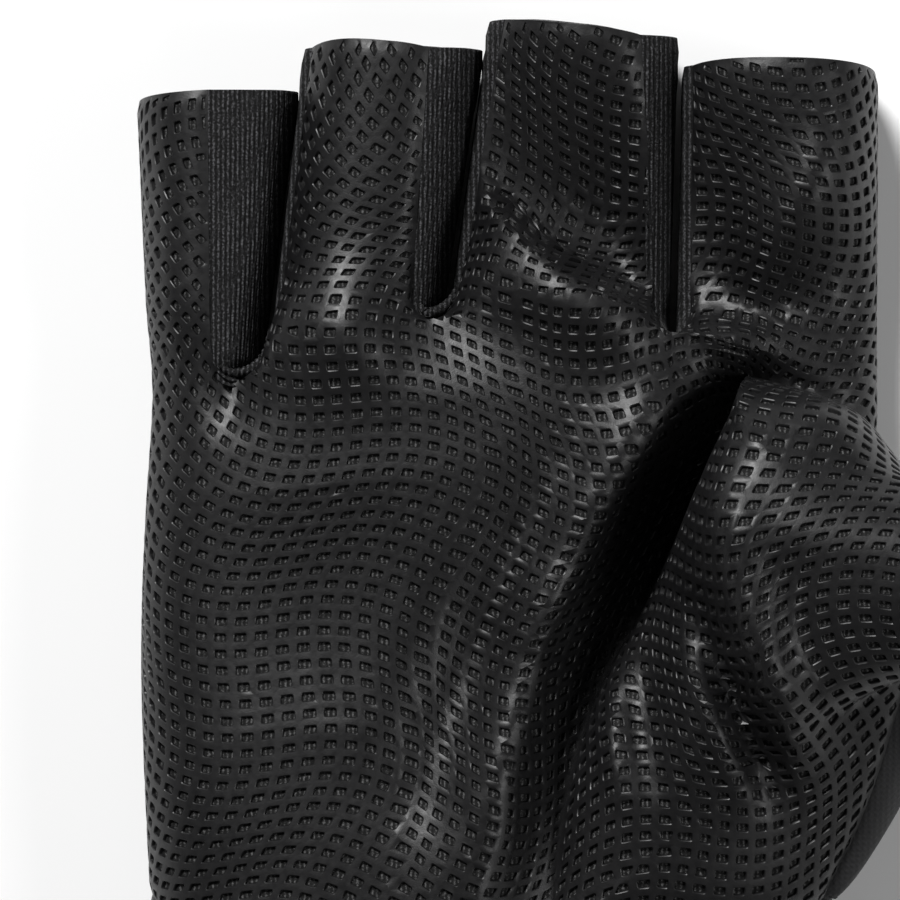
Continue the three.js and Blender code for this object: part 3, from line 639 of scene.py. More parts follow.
def thumb_edge(row):
    """Palm edge that the thumb is sewn to, from the cuff's corner round the fold to the web."""
    corner, foot = cuff_corner(), palm_point(FOLD_ANGLE, 0.0)
    t = np.clip(row / CUFF_SEGMENTS, 0, 1)
    turn = np.pi / 2 * t
    start = point(corner[0] + (foot[0] - corner[0]) * (1 - np.cos(turn)),
                  lerp(corner[1], foot[1], smooth(t * CORNER_LEAD)),
                  corner[2] + (foot[2] - corner[2]) * np.sin(turn))
    share = np.interp(row - CUFF_SEGMENTS, np.arange(PALM_ROWS + 1), PALM_SHARES)
    share = np.minimum(share, WEB_SHARE)
    column = np.clip(row - CUFF_SEGMENTS - WEB_ROW + FOLD_INDEX, FOLD_INDEX, len(FRONT_ANGLES) - 1)
    angle = np.interp(column, np.arange(len(FRONT_ANGLES)), FRONT_ANGLES)
    palm = palm_point(angle, share)
    return np.where((row < CUFF_SEGMENTS)[..., None], start, palm)


def opening_point(degrees):
    turn = np.radians(degrees)
    along = super_sin(turn, THUMB_ROUNDNESS) * THUMB_OPENING_WIDTH / 2
    up = super_cos(turn, THUMB_ROUNDNESS) * THUMB_OPENING_DEPTH / 2
    lean = OPENING_LEAN_ALONG * along + OPENING_LEAN_UP * up
    return point(THUMB_REACH + lean, THUMB_ALONG - along, THUMB_HEIGHT + up)


def seam_points(places):
    """Sewn edge of the thumb, on a centripetal curve through its points."""
    scale = np.array([PALM_WIDTH, FINGER_REACH, HAND_DEPTH])
    rows = np.stack([THUMB_SEAM["across"], THUMB_SEAM["along"], THUMB_SEAM["height"]], axis=1) * scale
    path = np.vstack([cuff_corner(), rows, opening_point(OPENING_SEAM_TURN)])
    path = np.vstack([2 * path[0] - path[1], path, 2 * path[-1] - path[-2]])
    last = len(path) - 3
    found = []
    for place in places:
        i = min(int(place * last), last - 1)
        t = place * last - i
        p0, p1, p2, p3 = path[i:i + 4]
        d0, d1, d2 = (np.sqrt(np.linalg.norm(b - a)) for a, b in ((p0, p1), (p1, p2), (p2, p3)))
        m1 = ((p1 - p0) / d0 - (p2 - p0) / (d0 + d1) + (p2 - p1) / d1) * d1
        m2 = ((p2 - p1) / d1 - (p3 - p1) / (d1 + d2) + (p3 - p2) / d2) * d1
        found.append(p1 + m1 * t + (3 * (p2 - p1) - 2 * m1 - m2) * t ** 2
                     + (2 * (p1 - p2) + m1 + m2) * t ** 3)
    return np.array(found)


def thumb_front_patch(fine):
    row, t = steps(EDGE_LAST, fine)[:, None], steps(THUMB_STEPS, fine)[None, :, None] / THUMB_STEPS
    at = row / EDGE_LAST
    value = {key: curve(THUMB_FAN, "at", key, at) for key in ("x", "y", "z", "turn", "pull")}
    start = thumb_edge(row)
    # The corner of the edge at the web is rounded off before the leather leaves it
    near_rows = [thumb_edge(np.clip(row + k, 0, EDGE_LAST))
                 for k in range(-EDGE_ROUNDING, EDGE_ROUNDING + 1)]
    fan = point(value["x"] * PALM_WIDTH, value["y"] * FINGER_REACH, value["z"] * HAND_DEPTH)
    leave = np.mean(near_rows, axis=0) + fan
    end = opening_point(lerp(OPENING_SEAM_TURN, OPENING_WEB_TURN, value["turn"]))
    arrive = end - point(value["pull"] * PALM_WIDTH, 0, 0)
    s = 1 - t
    grid = s ** 3 * start + 3 * s * s * t * leave + 3 * s * t * t * arrive + t ** 3 * end
    near = (1 - smooth(row / (EDGE_LAST * THUMB_SEAM_SHARE))) ** 2
    grid += (seam_points(t[0, :, 0]) - grid[0])[None] * near[..., None]
    across = t[..., 0]
    inner = (np.sqrt(np.abs(np.sin(np.pi * across)))
             * smooth(row / THUMB_FADE_ROWS) * smooth((EDGE_LAST - row) / THUMB_FADE_ROWS))
    grid[..., 2] += fold_height(THUMB_FOLDS, grid[..., 0], grid[..., 1]) * inner
    return grid


def thumb_back_patch(front, fine):
    edge = back_grid_point(0.0, spread(PALM_SHARES, fine)[:WEB_ROW * fine + 1])[:, None]
    lower, upper = front[0][None], front[-1][None]
    s = (steps(WEB_ROW, fine) / WEB_ROW)[:, None, None]
    t = (steps(THUMB_STEPS, fine) / THUMB_STEPS)[None, :, None]
    end = opening_point(lerp(OPENING_SEAM_TURN, OPENING_WEB_TURN + 360, s[..., 0]))
    corners = lerp(lerp(lower[:, :1], upper[:, :1], s), lerp(lower[:, -1:], upper[:, -1:], s), t)
    grid = lerp(lower, upper, s) + lerp(edge, end, t) - corners
    belly = THUMB_BELLY * np.sin(np.pi * s[..., 0]) * np.sin(np.pi * t[..., 0])
    grid[..., 2] = np.maximum(grid[..., 2] - belly, 0)
    along = np.sqrt(np.sin(np.pi * t[..., 0]))
    swell = THUMB_BAND_SWELL * np.sin(np.pi * np.sqrt(s[..., 0])) * along
    grid[..., 0] += swell * np.cos(THUMB_BAND_TURN)
    grid[..., 1] += swell * np.sin(THUMB_BAND_TURN)
    grid[:, :1], grid[:, -1:] = edge, end
    grid[0], grid[-1] = lower[0], upper[0]
    return grid


def cuff_patch(fine):
    front = palm_point(spread(FRONT_ANGLES, fine)[:FOLD_INDEX * fine + 1], 0.0)
    side = thumb_edge(steps(CUFF_SEGMENTS, fine))[-2::-1]
    back = back_grid_point(spread(BACK_ANGLES, fine), 0.0)[-2::-1]
    top = np.concatenate([front, side, back])[None]
    left, right, _ = hand_extent(CUFF_TOP)
    centre_x, half_top, centre_z = (left + right) / 2, (right - left) / 2, CUFF_DEPTH / 2
    turn = np.arctan2((top[..., 2] - centre_z) / centre_z, (top[..., 0] - centre_x) / half_top)
    cos, sin = super_cos(turn, HAND_ROUNDNESS), super_sin(turn, HAND_ROUNDNESS)
    end_x = centre_x + CUFF_WIDTH / 2 * cos
    end_z = centre_z + np.where(sin < 0, centre_z + REST_FLATTENING, centre_z) * sin
    t = (steps(CUFF_ROWS, fine) / CUFF_ROWS)[:, None]
    swell = CUFF_SWELL * np.sin(np.pi * t)
    return point(lerp(top[..., 0], end_x, smooth(t)) + swell * np.cos(turn),
                 lerp(top[..., 1], CUFF_TOP - CUFF_LENGTH, t),
                 np.maximum(lerp(top[..., 2], end_z, smooth(t)) + swell * np.sin(turn), 0))


# The whole skin as welded pieces
def grid_quads(shape, first, flip):
    rows, cols = shape[0] - 1, shape[1] - 1
    r, c = np.meshgrid(np.arange(rows), np.arange(cols), indexing="ij")
    a = (first + r * shape[1] + c).ravel()
    quads = np.stack([a, a + 1, a + shape[1] + 1, a + shape[1]], axis=1)
    return quads[:, ::-1] if flip else quads


def weld(points):
    keys = np.round(points * WELD_STEPS_PER_MM).astype(np.int64)
    _, first, inverse = np.unique(keys, axis=0, return_index=True, return_inverse=True)
    return first, inverse.ravel()


def make_skin(fine, rib_steps):
    thumb = thumb_front_patch(fine)
    patches = {
        "palm_panel": (False, palm_patches(fine) + [front_stub_patch(k, fine) for k in range(4)]),
        "thumb_front": (False, [thumb]),
        "thumb_back": (True, [thumb_back_patch(thumb, fine)]),
        "back_panel": (True, [back_patch(fine)] + [back_stub_patch(k, fine) for k in range(4)]),
        **{name: (True, [gusset_patch(k, fine, rib_steps)]) for k, name in enumerate(GUSSETS, 1)},
        "wrist_cuff": (True, [cuff_patch(fine)]),
    }
    points, quads, counts = [], {}, 0
    for name, (flip, grids) in patches.items():
        parts = []
        for grid in grids:
            parts.append(grid_quads(grid.shape, counts, flip))
            points.append(grid.reshape(-1, 3))
            counts += grid.shape[0] * grid.shape[1]
        quads[name] = np.concatenate(parts)
    points = np.concatenate(points)
    first, inverse = weld(points)
    skin = {"points": points[first], "quads": {k: inverse[v] for k, v in quads.items()}}
    skin["normals"] = skin_normals(skin["points"], np.concatenate(list(skin["quads"].values())))
    skin["shapes"] = {name: [grid.shape[:2] for grid in grids] for name, (_, grids) in patches.items()}
    return skin


def triangles_of(quads):
    tris = np.concatenate([quads[:, [0, 1, 2]], quads[:, [0, 2, 3]]])
    distinct = (tris[:, 0] != tris[:, 1]) & (tris[:, 1] != tris[:, 2]) & (tris[:, 2] != tris[:, 0])
    return tris[distinct]


def unit(vectors):
    return vectors / np.maximum(np.linalg.norm(vectors, axis=-1, keepdims=True), TINY)


def skin_normals(points, quads):
    """Outward direction of every point, each face counted by its angle there."""
    tris = triangles_of(quads)
    corner = points[tris]
    face = unit(np.cross(corner[:, 1] - corner[:, 0], corner[:, 2] - corner[:, 0]))
    normals = np.zeros_like(points)
    for k in range(3):
        one = unit(corner[:, (k + 1) % 3] - corner[:, k])
        two = unit(corner[:, (k + 2) % 3] - corner[:, k])
        angle = np.arccos(np.clip((one * two).sum(axis=1), -1, 1))
        for axis in range(3):
            normals[:, axis] += np.bincount(tris[:, k], face[:, axis] * angle, len(points))
    return unit(normals)


def border_edges(faces):
    """Directed edges that only one face has."""
    edges = np.concatenate([np.stack([faces[:, k], np.roll(faces, -1, axis=1)[:, k]], axis=1)
                            for k in range(faces.shape[1])])
    edges = edges[edges[:, 0] != edges[:, 1]]
    size = edges.max() + 1
    forward, backward = edges[:, 0] * size + edges[:, 1], edges[:, 1] * size + edges[:, 0]
    return edges[~np.isin(forward, backward)]


def cut_piece(skin, name):
    """One piece of the skin with its own numbering."""
    quads = skin["quads"][name]
    used, inverse = np.unique(quads, return_inverse=True)
    piece = {"points": skin["points"][used], "normals": skin["normals"][used],
             "quads": inverse.reshape(quads.shape), "used": used}
    piece["border"] = border_edges(piece["quads"])
    return piece


def border_places(piece, key):
    """Places along the piece's border, on its points or on its flat layout."""
    ends = piece[key][piece["border"]]
    return np.concatenate([lerp(ends[:, 0], ends[:, 1], t) for t in BORDER_SHARES])


def in_plane(places):
    """Places of the flat layout as points at height 0."""
    return [(u, v, 0.0) for u, v in places.tolist()]


def place_tree(places):
    tree = KDTree(len(places))
    for i, place in enumerate(places):
        tree.insert(place, i)
    tree.balance()
    return tree


def seam_dip(piece, points, depth, reach):
    """Depth of the surface at points, by their distance from the piece's border."""
    tree = place_tree(border_places(piece, "points"))
    distance = np.array([tree.find(p)[2] for p in points])
    return depth * np.exp(-(distance / reach) ** 2)


# Meshes
def shade(mesh, sharp):
    mesh.polygons.foreach_set("use_smooth", [True] * len(mesh.polygons))
    mesh.set_sharp_from_angle(angle=np.radians(sharp))
    mesh.update()


def mesh_object(name, points, faces, sharp=None):
    mesh = bpy.data.meshes.new(name)
    mesh.from_pydata(((points + PART_ORIGIN) * METRES).tolist(), [], faces)
    mesh.validate()
    if sharp is not None:
        shade(mesh, sharp)
    made = bpy.data.objects.new(name, mesh)
    bpy.context.scene.collection.objects.link(made)
    return made


def clean(made):
    """Joins points that fell together and drops faces without area."""
    work = bmesh.new()
    work.from_mesh(made.data)
    bmesh.ops.remove_doubles(work, verts=work.verts, dist=CLEAN_DISTANCE * METRES)
    bmesh.ops.dissolve_degenerate(work, edges=work.edges, dist=CLEAN_DISTANCE * METRES / 4)
    loose = [v for v in work.verts if not v.link_faces]
    bmesh.ops.delete(work, geom=loose, context="VERTS")
    work.to_mesh(made.data)
    work.free()
    made.data.update()


def shell(name, piece, outside, inside, sharp=SHELL_SHARP):
    """Closed wall between two depths under the skin."""
    points, normals, quads = piece["points"], piece["normals"], piece["quads"]
    outside = np.broadcast_to(outside, len(points))[:, None]
    inside = np.broadcast_to(inside, len(points))[:, None]
    outer, inner = points - normals * outside, points - normals * inside
    outer[:, 2] = np.maximum(outer[:, 2], 0)
    count = len(points)
    faces = quads.tolist() + (quads[:, ::-1] + count).tolist()
    faces += [[b, a, a + count, b + count] for a, b in piece["border"].tolist()]
    faces = [list(dict.fromkeys(face)) for face in faces]
    faces = [face for face in faces if len(face) > 2]
    return mesh_object(name, np.concatenate([outer, inner]), faces, sharp)


# Flattening a piece, so that the grid of holes keeps its size on every slope
def flatten(points, quads):
    """Flat layout with little stretch, turned to lie as the piece does from above."""
    mesh = bpy.data.meshes.new("layout")
    mesh.from_pydata(points.tolist(), [], quads.tolist())
    made = bpy.data.objects.new("layout", mesh)
    bpy.context.scene.collection.objects.link(made)
    bpy.context.view_layer.objects.active = made
    mesh.uv_layers.new(name="flat")
    bpy.ops.object.mode_set(mode="EDIT")
    bpy.ops.mesh.select_all(action="SELECT")
    bpy.ops.uv.unwrap(method="MINIMUM_STRETCH", iterations=FLATTEN_ITERATIONS)
    bpy.ops.object.mode_set(mode="OBJECT")
    uv = np.empty(len(mesh.loops) * 2)
    mesh.uv_layers["flat"].data.foreach_get("uv", uv)
    corner = np.empty(len(mesh.loops), int)
    mesh.loops.foreach_get("vertex_index", corner)
    flat = np.zeros((len(points), 2))
    flat[corner] = uv.reshape(-1, 2)
    bpy.data.objects.remove(made)
    bpy.data.meshes.remove(mesh)
    pairs = np.concatenate([quads[:, [0, 1]], quads[:, [1, 2]]])
    real = np.linalg.norm(points[pairs[:, 0]] - points[pairs[:, 1]], axis=1)
    flat *= real.sum() / np.linalg.norm(flat[pairs[:, 0]] - flat[pairs[:, 1]], axis=1).sum()
    plan = points[:, :2] - points[:, :2].mean(axis=0)
    flat -= flat.mean(axis=0)
    turn = np.arctan2((flat[:, 0] * plan[:, 1] - flat[:, 1] * plan[:, 0]).sum(), (flat * plan).sum())
    spin = np.array([[np.cos(turn), np.sin(turn)], [-np.sin(turn), np.cos(turn)]])
    return flat @ spin + points[:, :2].mean(axis=0)


def resample(grid, factor):
    """A grid of values with factor times as many steps, on smooth curves."""
    for axis in range(2):
        grid = np.moveaxis(grid, axis, 0)
        padded = np.concatenate([2 * grid[:1] - grid[1:2], grid, 2 * grid[-1:] - grid[-2:-1]])
        last = len(grid) - 1
        place = np.linspace(0, last, last * factor + 1)
        i = np.minimum(place.astype(int), last - 1)
        t = (place - i).reshape((-1,) + (1,) * (grid.ndim - 1))
        p0, p1, p2, p3 = (padded[i + k] for k in range(4))
        grid = (p1 + (p2 - p0) / 2 * t + (2 * p0 - 5 * p1 + 4 * p2 - p3) / 2 * t ** 2
                + (3 * (p1 - p2) + p3 - p0) / 2 * t ** 3)
        grid = np.moveaxis(grid, 0, axis)
    return grid


LEATHER_PIECES = ("palm_panel", "thumb_front")


def leather_layout(coarse, fine_skin):
    """Flat place of every point of the leather, the pieces side by side as if they were one."""
    quads = np.concatenate([coarse["quads"][name] for name in LEATHER_PIECES])
    used, inverse = np.unique(quads, return_inverse=True)
    flat = flatten(coarse["points"][used], inverse.reshape(quads.shape))
    place = np.zeros((len(coarse["points"]), 2))
    place[used] = flat
    return {name: fine_layout(coarse, fine_skin, name, place) for name in LEATHER_PIECES}


def fine_layout(coarse, fine_skin, name, place):
    """A piece of the fine skin with the flat places in between."""
    piece = cut_piece(fine_skin, name)
    sums, hits = np.zeros((len(piece["points"]), 2)), np.zeros(len(piece["points"]))
    coarse_at, fine_at = 0, 0
    for rows, cols in coarse["shapes"][name]:
        cells = (rows - 1) * (cols - 1)
        coarse_ids = corner_grid(coarse["quads"][name][coarse_at:coarse_at + cells], (rows, cols))
        values = resample(place[coarse_ids], FINER)
        fine_cells = cells * FINER * FINER
        ids = corner_grid(piece["quads"][fine_at:fine_at + fine_cells], values.shape[:2])
        np.add.at(sums, ids.ravel(), values.reshape(-1, 2))
        np.add.at(hits, ids.ravel(), 1)
        coarse_at += cells
        fine_at += fine_cells
    piece["flat"] = sums / hits[:, None]
    return piece


def corner_grid(quads, shape):
    """Point numbers of a patch as a grid, from its unflipped quads."""
    rows, cols = shape[0] - 1, shape[1] - 1
    cells = quads.reshape(rows, cols, 4)
    ids = np.empty(shape, int)
    ids[:-1, :-1] = cells[..., 0]
    ids[:-1, -1] = cells[:, -1, 1]
    ids[-1, :-1] = cells[-1, :, 3]
    ids[-1, -1] = cells[-1, -1, 2]
    return ids


# Perforated leather
def grid_place(a, b):
    """Flat place of a point of the bent grid, a and b counted in holes."""
    s, t = a * HOLE_PITCH_ACROSS, b * HOLE_PITCH_ALONG
    bend = 2 * np.pi / WAVE_LENGTH
    bent_s = s + WAVE_ACROSS * np.cos(bend * (t - WAVE_CREST_ALONG))
    bent_t = t - WAVE_ALONG * np.cos(bend * (s - WAVE_CREST_ACROSS))
    turn = np.radians(GRID_TURN)
    return np.stack([bent_s * np.cos(turn) - bent_t * np.sin(turn),
                     bent_s * np.sin(turn) + bent_t * np.cos(turn)], axis=-1)


def hole_ring(inset):
    """Outline of a hole in a cell, from the lower left corner, in millimetres."""
    corner = HOLE_CORNER - inset / 2
    half_a = HOLE_PITCH_ACROSS / 2 - LAND_ACROSS / 2 - inset
    half_b = HOLE_PITCH_ALONG / 2 - LAND_ALONG / 2 - inset
    ring = []
    for k, (sx, sy) in enumerate(((-1, -1), (1, -1), (1, 1), (-1, 1))):
        for step in range(3):
            turn = np.pi + np.pi / 2 * k + np.pi / 4 * step
            ring.append((sx * (half_a - corner) + corner * np.cos(turn),
                         sy * (half_b - corner) + corner * np.sin(turn)))
    return np.array(ring)


def hole_places(cells, inset, scale, shift):
    """Flat places of the holes' outlines, a row for each cell."""
    ring = hole_ring(inset) * scale / (HOLE_PITCH_ACROSS, HOLE_PITCH_ALONG) + shift
    return grid_place(cells[:, 0, None] + 0.5 + ring[..., 0], cells[:, 1, None] + 0.5 + ring[..., 1])


class FlatMap:
    """Brings points of the flat layout onto the piece."""

    def __init__(self, piece):
        self.piece = piece
        self.tris = triangles_of(piece["quads"])
        self.tree = BVHTree.FromPolygons(in_plane(piece["flat"]), self.tris.tolist(), all_triangles=True)

    def find(self, places):
        """For each place: point, outward direction and how far outside the piece it lay."""
        hits = [self.tree.find_nearest(place) for place in in_plane(places)]
        landed = np.array([hit[0][:2] for hit in hits])
        tri = self.tris[[hit[2] for hit in hits]]
        a, b, c = (self.piece["flat"][tri[:, k]] for k in range(3))
        v0, v1, v2 = b - a, c - a, landed - a
        area = v0[:, 0] * v1[:, 1] - v0[:, 1] * v1[:, 0]
        area = np.where(np.abs(area) < TINY, TINY, area)
        wb = (v2[:, 0] * v1[:, 1] - v2[:, 1] * v1[:, 0]) / area
        wc = (v0[:, 0] * v2[:, 1] - v0[:, 1] * v2[:, 0]) / area
        weights = np.stack([1 - wb - wc, wb, wc], axis=1)[..., None]
        points = (self.piece["points"][tri] * weights).sum(axis=1)
        normals = unit((self.piece["normals"][tri] * weights).sum(axis=1))
        return points, normals, np.linalg.norm(landed - places, axis=1)


def near_cells(flat_map):
    """Cells of the bent grid near the piece, their middles and how far outside they lie."""
    flat = flat_map.piece["flat"]
    span = np.abs(flat).max() + 2 * max(WAVE_ACROSS, WAVE_ALONG)
    count_a, count_b = int(span / HOLE_PITCH_ACROSS) + 2, int(span / HOLE_PITCH_ALONG) + 2
    a, b = np.meshgrid(np.arange(-count_a, count_a), np.arange(-count_b, count_b), indexing="ij")
    cells = np.stack([a.ravel(), b.ravel()], axis=1)
    centres = grid_place(cells[:, 0] + 0.5, cells[:, 1] + 0.5)
    low, high = flat.min(axis=0) - CELL_MARGIN, flat.max(axis=0) + CELL_MARGIN
    in_box = ((centres > low) & (centres < high)).all(axis=1)
    cells, centres = cells[in_box], centres[in_box]
    outside = flat_map.find(centres)[2]
    near = outside < HOLE_PITCH_ACROSS
    return cells[near], centres[near], outside[near]


def cell_outlines(cells):
    """Numbers of the eight points round each cell, shared with its neighbours, and flat places."""
    ids, outlines = {}, []
    for a, b in (2 * cells).tolist():
        outlines.append([ids.setdefault((a + da, b + db), len(ids)) for da, db in CELL_OUTLINE])
    places = np.array(list(ids)) / 2
    return np.array(outlines), grid_place(places[:, 0], places[:, 1])


def choose_holes(flat_map, cells, centres, outside):
    """Number of the largest form of hole that fits each cell, -1 for none."""
    tree = place_tree(in_plane(border_places(flat_map.piece, "flat")))
    room = np.array([tree.find(place)[2] for place in in_plane(centres)])
    chosen = np.full(len(cells), -1)
    for form, (scale, shift) in enumerate(zip(FORM_SCALES, FORM_SHIFTS)):
        free = np.nonzero((chosen < 0) & (outside < HOLE_PITCH_ALONG / 2))[0]
        rings = hole_places(cells[free], 0.0, scale, shift)
        fits = (room[free] > HOLE_PITCH_ACROSS) & (outside[free] < OUTSIDE_LIMIT)
        for k in np.nonzero(~fits)[0]:
            gap = min(tree.find(place)[2] for place in in_plane(rings[k]))
            fits[k] = flat_map.find(rings[k])[2].max() < OUTSIDE_LIMIT and gap > HOLE_BORDER
        chosen[free[fits]] = form
    return chosen


def add_hole(faces, rim, outline, rings, under_of):
    """Faces of a cell with a hole: the land above and below it, and the hole's wall."""
    for side in range(4):
        edge = [outline[(2 * side + step) % len(outline)] for step in range(3)]
        for ring, below in ((rings[0], False), (rings[-1], True)):
            c, m, f = (under_of[i] if below else i for i in edge)
            p, q, r, s = (ring[(3 * side + step) % RING_POINTS] for step in range(4))
            land = ((c, q, p), (c, r, q), (c, m, r), (m, s, r), (m, f, s))
            faces.extend(face[::-1] if below else face for face in land)
        rim += [(edge[0], edge[1]), (edge[1], edge[2])]
    for upper, lower in zip(rings, rings[1:]):
        for i in range(RING_POINTS):
            j = (i + 1) % RING_POINTS
            faces += [(upper[i], upper[j], lower[j]), (upper[i], lower[j], lower[i])]


def add_plain(faces, rim, outline, centre, under_of, lost):
    """Faces of a cell without a hole, as far as the piece reaches."""
    for one, two in zip(outline, outline[1:] + outline[:1]):
        if not (lost[one] and lost[two] and lost[centre]):
            faces += [(one, two, centre), (under_of[centre], under_of[two], under_of[one])]
            rim += [(one, two), (two, centre), (centre, one)]


def perforated_sheet(name, piece):
    """A closed sheet with a hole in every cell of the bent grid that the piece has room for."""
    flat_map = FlatMap(piece)
    cells, centres, outside = near_cells(flat_map)
    outlines, outline_places = cell_outlines(cells)
    chosen = choose_holes(flat_map, cells, centres, outside)
    holed, plain = np.nonzero(chosen >= 0)[0], np.nonzero(chosen < 0)[0]
    scale, shift = FORM_SCALES[chosen[holed]][:, None], FORM_SHIFTS[chosen[holed]][:, None]
    rings = [hole_places(cells[holed], inset, scale, shift).reshape(-1, 2) for inset, _ in HOLE_LEVELS]

    # Points: the cells' outlines, the holes' rings level by level, the middles of the plain cells
    points, normals, off = flat_map.find(np.concatenate([outline_places, *rings, centres[plain]]))
    outline_count, ring_count = len(outline_places), len(holed) * RING_POINTS
    starts = [outline_count + ring_count * level for level in range(len(HOLE_LEVELS))]
    centre_start = starts[-1] + ring_count
    depth = np.zeros(len(points))
    for start, (_, down) in zip(starts, HOLE_LEVELS):
        depth[start:start + ring_count] = down
    dip = seam_dip(piece, points, SEAM_DIP, SEAM_DIP_REACH)
    top = points - normals * (depth + dip * (depth < SHEET_DEPTH))[:, None]
    lost = off > OUTSIDE_LIMIT

    # The underside repeats the outlines and the middles
    under_source = np.concatenate([np.arange(outline_count), np.arange(centre_start, len(points))])
    under_of = {k: len(points) + i for i, k in enumerate(under_source.tolist())}
    under = points[under_source] - normals[under_source] * SHEET_DEPTH
    faces, rim = [], []
    for k, outline in enumerate(outlines[holed].tolist()):
        here = [range(start + RING_POINTS * k, start + RING_POINTS * (k + 1)) for start in starts]
        add_hole(faces, rim, outline, here, under_of)
    for k, outline in enumerate(outlines[plain].tolist()):
        add_plain(faces, rim, outline, centre_start + k, under_of, lost)

    # Side faces where the sheet ends
    directed = set(rim)
    for one, two in rim:
        if (two, one) not in directed:
            faces += [(two, one, under_of[one]), (two, under_of[one], under_of[two])]
    made = mesh_object(name, np.concatenate([top, under]), faces)
    clean(made)
    shade(made.data, SHEET_SHARP)
    return made


# Knit side walls
def path_length(grid, axis):
    """Length along a grid of points from its first row or column."""
    steps_along = np.linalg.norm(np.diff(grid, axis=axis), axis=2).cumsum(axis=axis)
    return np.concatenate([np.zeros_like(np.take(steps_along, [0], axis=axis)), steps_along], axis=axis)


def ribbed_wall(name, piece, shape):
    """Side wall between two fingers, with ribs along its length and a hem at each open top."""
    ids = corner_grid(piece["quads"][:, ::-1], shape)
    grid = piece["points"][ids]
    across, up = path_length(grid, 1), path_length(grid, 0)
    middle = across[:, -1:] / 2
    ribs = RIB_HEIGHT * (0.5 - 0.5 * np.cos(2 * np.pi * (across - middle) / RIB_PITCH))
    from_end = np.minimum(up, up[-1:] - up)
    hem = HEM_STEP * (1 - smooth((from_end - HEM_WIDTH) / HEM_SLOPE))
    crease = HEM_CREASE * np.exp(-((from_end - HEM_WIDTH - CREASE_SHIFT) / CREASE_REACH) ** 2)
    depth = np.zeros(len(piece["points"]))
    depth[ids] = RIB_HEIGHT - ribs + HEM_STEP - hem + crease
    depth += seam_dip(piece, piece["points"], KNIT_DIP, KNIT_DIP_REACH)
    return shell(name, piece, depth, KNIT_WALL + KNIT_EXTRA_DEPTH, RIB_SHARP)


def gathered_rim(name, border):
    """Gathered rim of the knit round the bottom of a slit, highest at the upper finger's side."""
    lengths = np.concatenate([[0], np.linalg.norm(np.diff(border, axis=0), axis=1).cumsum()])
    bottom = lengths[len(border) // 2]
    share = np.linspace(0, 1, RIM_STATIONS)
    at = bottom - RIM_BEFORE + share * (RIM_BEFORE + RIM_AFTER)
    line = np.stack([np.interp(at, lengths, border[:, k]) for k in range(3)], axis=1)
    ahead = unit(np.gradient(line, axis=0))
    inward = unit(np.cross(np.array([0, 0, 1.0]), ahead))
    outward = np.cross(ahead, inward)
    swell = np.sqrt(np.maximum(np.sin(np.pi * share), 0))
    gathers = 1 + RIM_GATHER * np.sin(2 * np.pi * at / RIM_PITCH)
    radius = RIM_RADIUS * (RIM_END_SHARE + (1 - RIM_END_SHARE) * swell) * gathers
    centre = line + inward * RIM_RADIUS * RIM_INWARD - outward * RIM_RADIUS * RIM_SINK
    turn = 2 * np.pi * np.arange(RIM_SIDES) / RIM_SIDES
    spokes = np.cos(turn)[None, :, None] * inward[:, None] + np.sin(turn)[None, :, None] * outward[:, None]
    rings = centre[:, None] + radius[:, None, None] * spokes
    faces = []
    for r in range(RIM_STATIONS - 1):
        for c in range(RIM_SIDES):
            a, b = r * RIM_SIDES + c, r * RIM_SIDES + (c + 1) % RIM_SIDES
            faces.append((a, b, b + RIM_SIDES, a + RIM_SIDES))
    faces.append(tuple(range(RIM_SIDES))[::-1])
    faces.append(tuple((RIM_STATIONS - 1) * RIM_SIDES + c for c in range(RIM_SIDES)))
    return mesh_object(name, rings.reshape(-1, 3), faces, RIM_SHARP)


# Materials
LEATHER_DARK, LEATHER_LIGHT = (0.0040, 0.0040, 0.0044), (0.0068, 0.0066, 0.0070)
LEATHER_SMOOTH, LEATHER_ROUGH = (0.38, 0.38, 0.38), (0.52, 0.52, 0.52)
KNIT_DARK, KNIT_LIGHT = (0.0003, 0.0003, 0.0004), (0.0095, 0.0095, 0.0100)
BACKING_DARK, BACKING_LIGHT = (0.004, 0.004, 0.004), (0.012, 0.012, 0.012)
CLOTH_DARK, CLOTH_LIGHT = (0.0045, 0.0045, 0.0052), (0.0085, 0.0085, 0.0095)
FLOOR_DARK, FLOOR_LIGHT = (0.85, 0.85, 0.85), (0.88, 0.88, 0.88)
# Painted glints on the knit: its brightest speckles are this many times its light colour
KNIT_PAINTED_GLINT = 8.0
KNIT_GRAIN_SCALE = 3300.0
RIB_BANDS_SCALE = 507.0
RIB_BANDS_SHARE = 0.26
CLOTH_BANDS_SCALE = 420.0


def node_material(name, colour, roughness):
    """A material, its tree, its surface and the coordinates that its patterns lie in."""
    material = bpy.data.materials.new(name)
    material.use_nodes = True
    tree = material.node_tree
    surface = tree.nodes["Principled BSDF"]
    surface.inputs["Base Color"].default_value = (*colour, 1)
    surface.inputs["Roughness"].default_value = roughness
    return material, tree, surface, tree.nodes.new("ShaderNodeTexCoord").outputs["Object"]


def add_node(tree, kind, **values):
    node = tree.nodes.new(kind)
    for key, value in values.items():
        if hasattr(node, key):
            setattr(node, key, value)
        else:
            node.inputs[key.replace("_", " ")].default_value = value
    return node


def noise(tree, place, scale, detail=2.0, roughness=0.5):
    node = add_node(tree, "ShaderNodeTexNoise", Scale=scale, Detail=detail, Roughness=roughness)
    tree.links.new(place, node.inputs["Vector"])
    return node.outputs["Fac"]


def bands(tree, place, direction, scale, distortion, detail, detail_scale):
    node = add_node(tree, "ShaderNodeTexWave", wave_type="BANDS", bands_direction=direction, Scale=scale,
                    Distortion=distortion, Detail=detail, Detail_Scale=detail_scale)
    tree.links.new(place, node.inputs["Vector"])
    return node.outputs["Fac"]


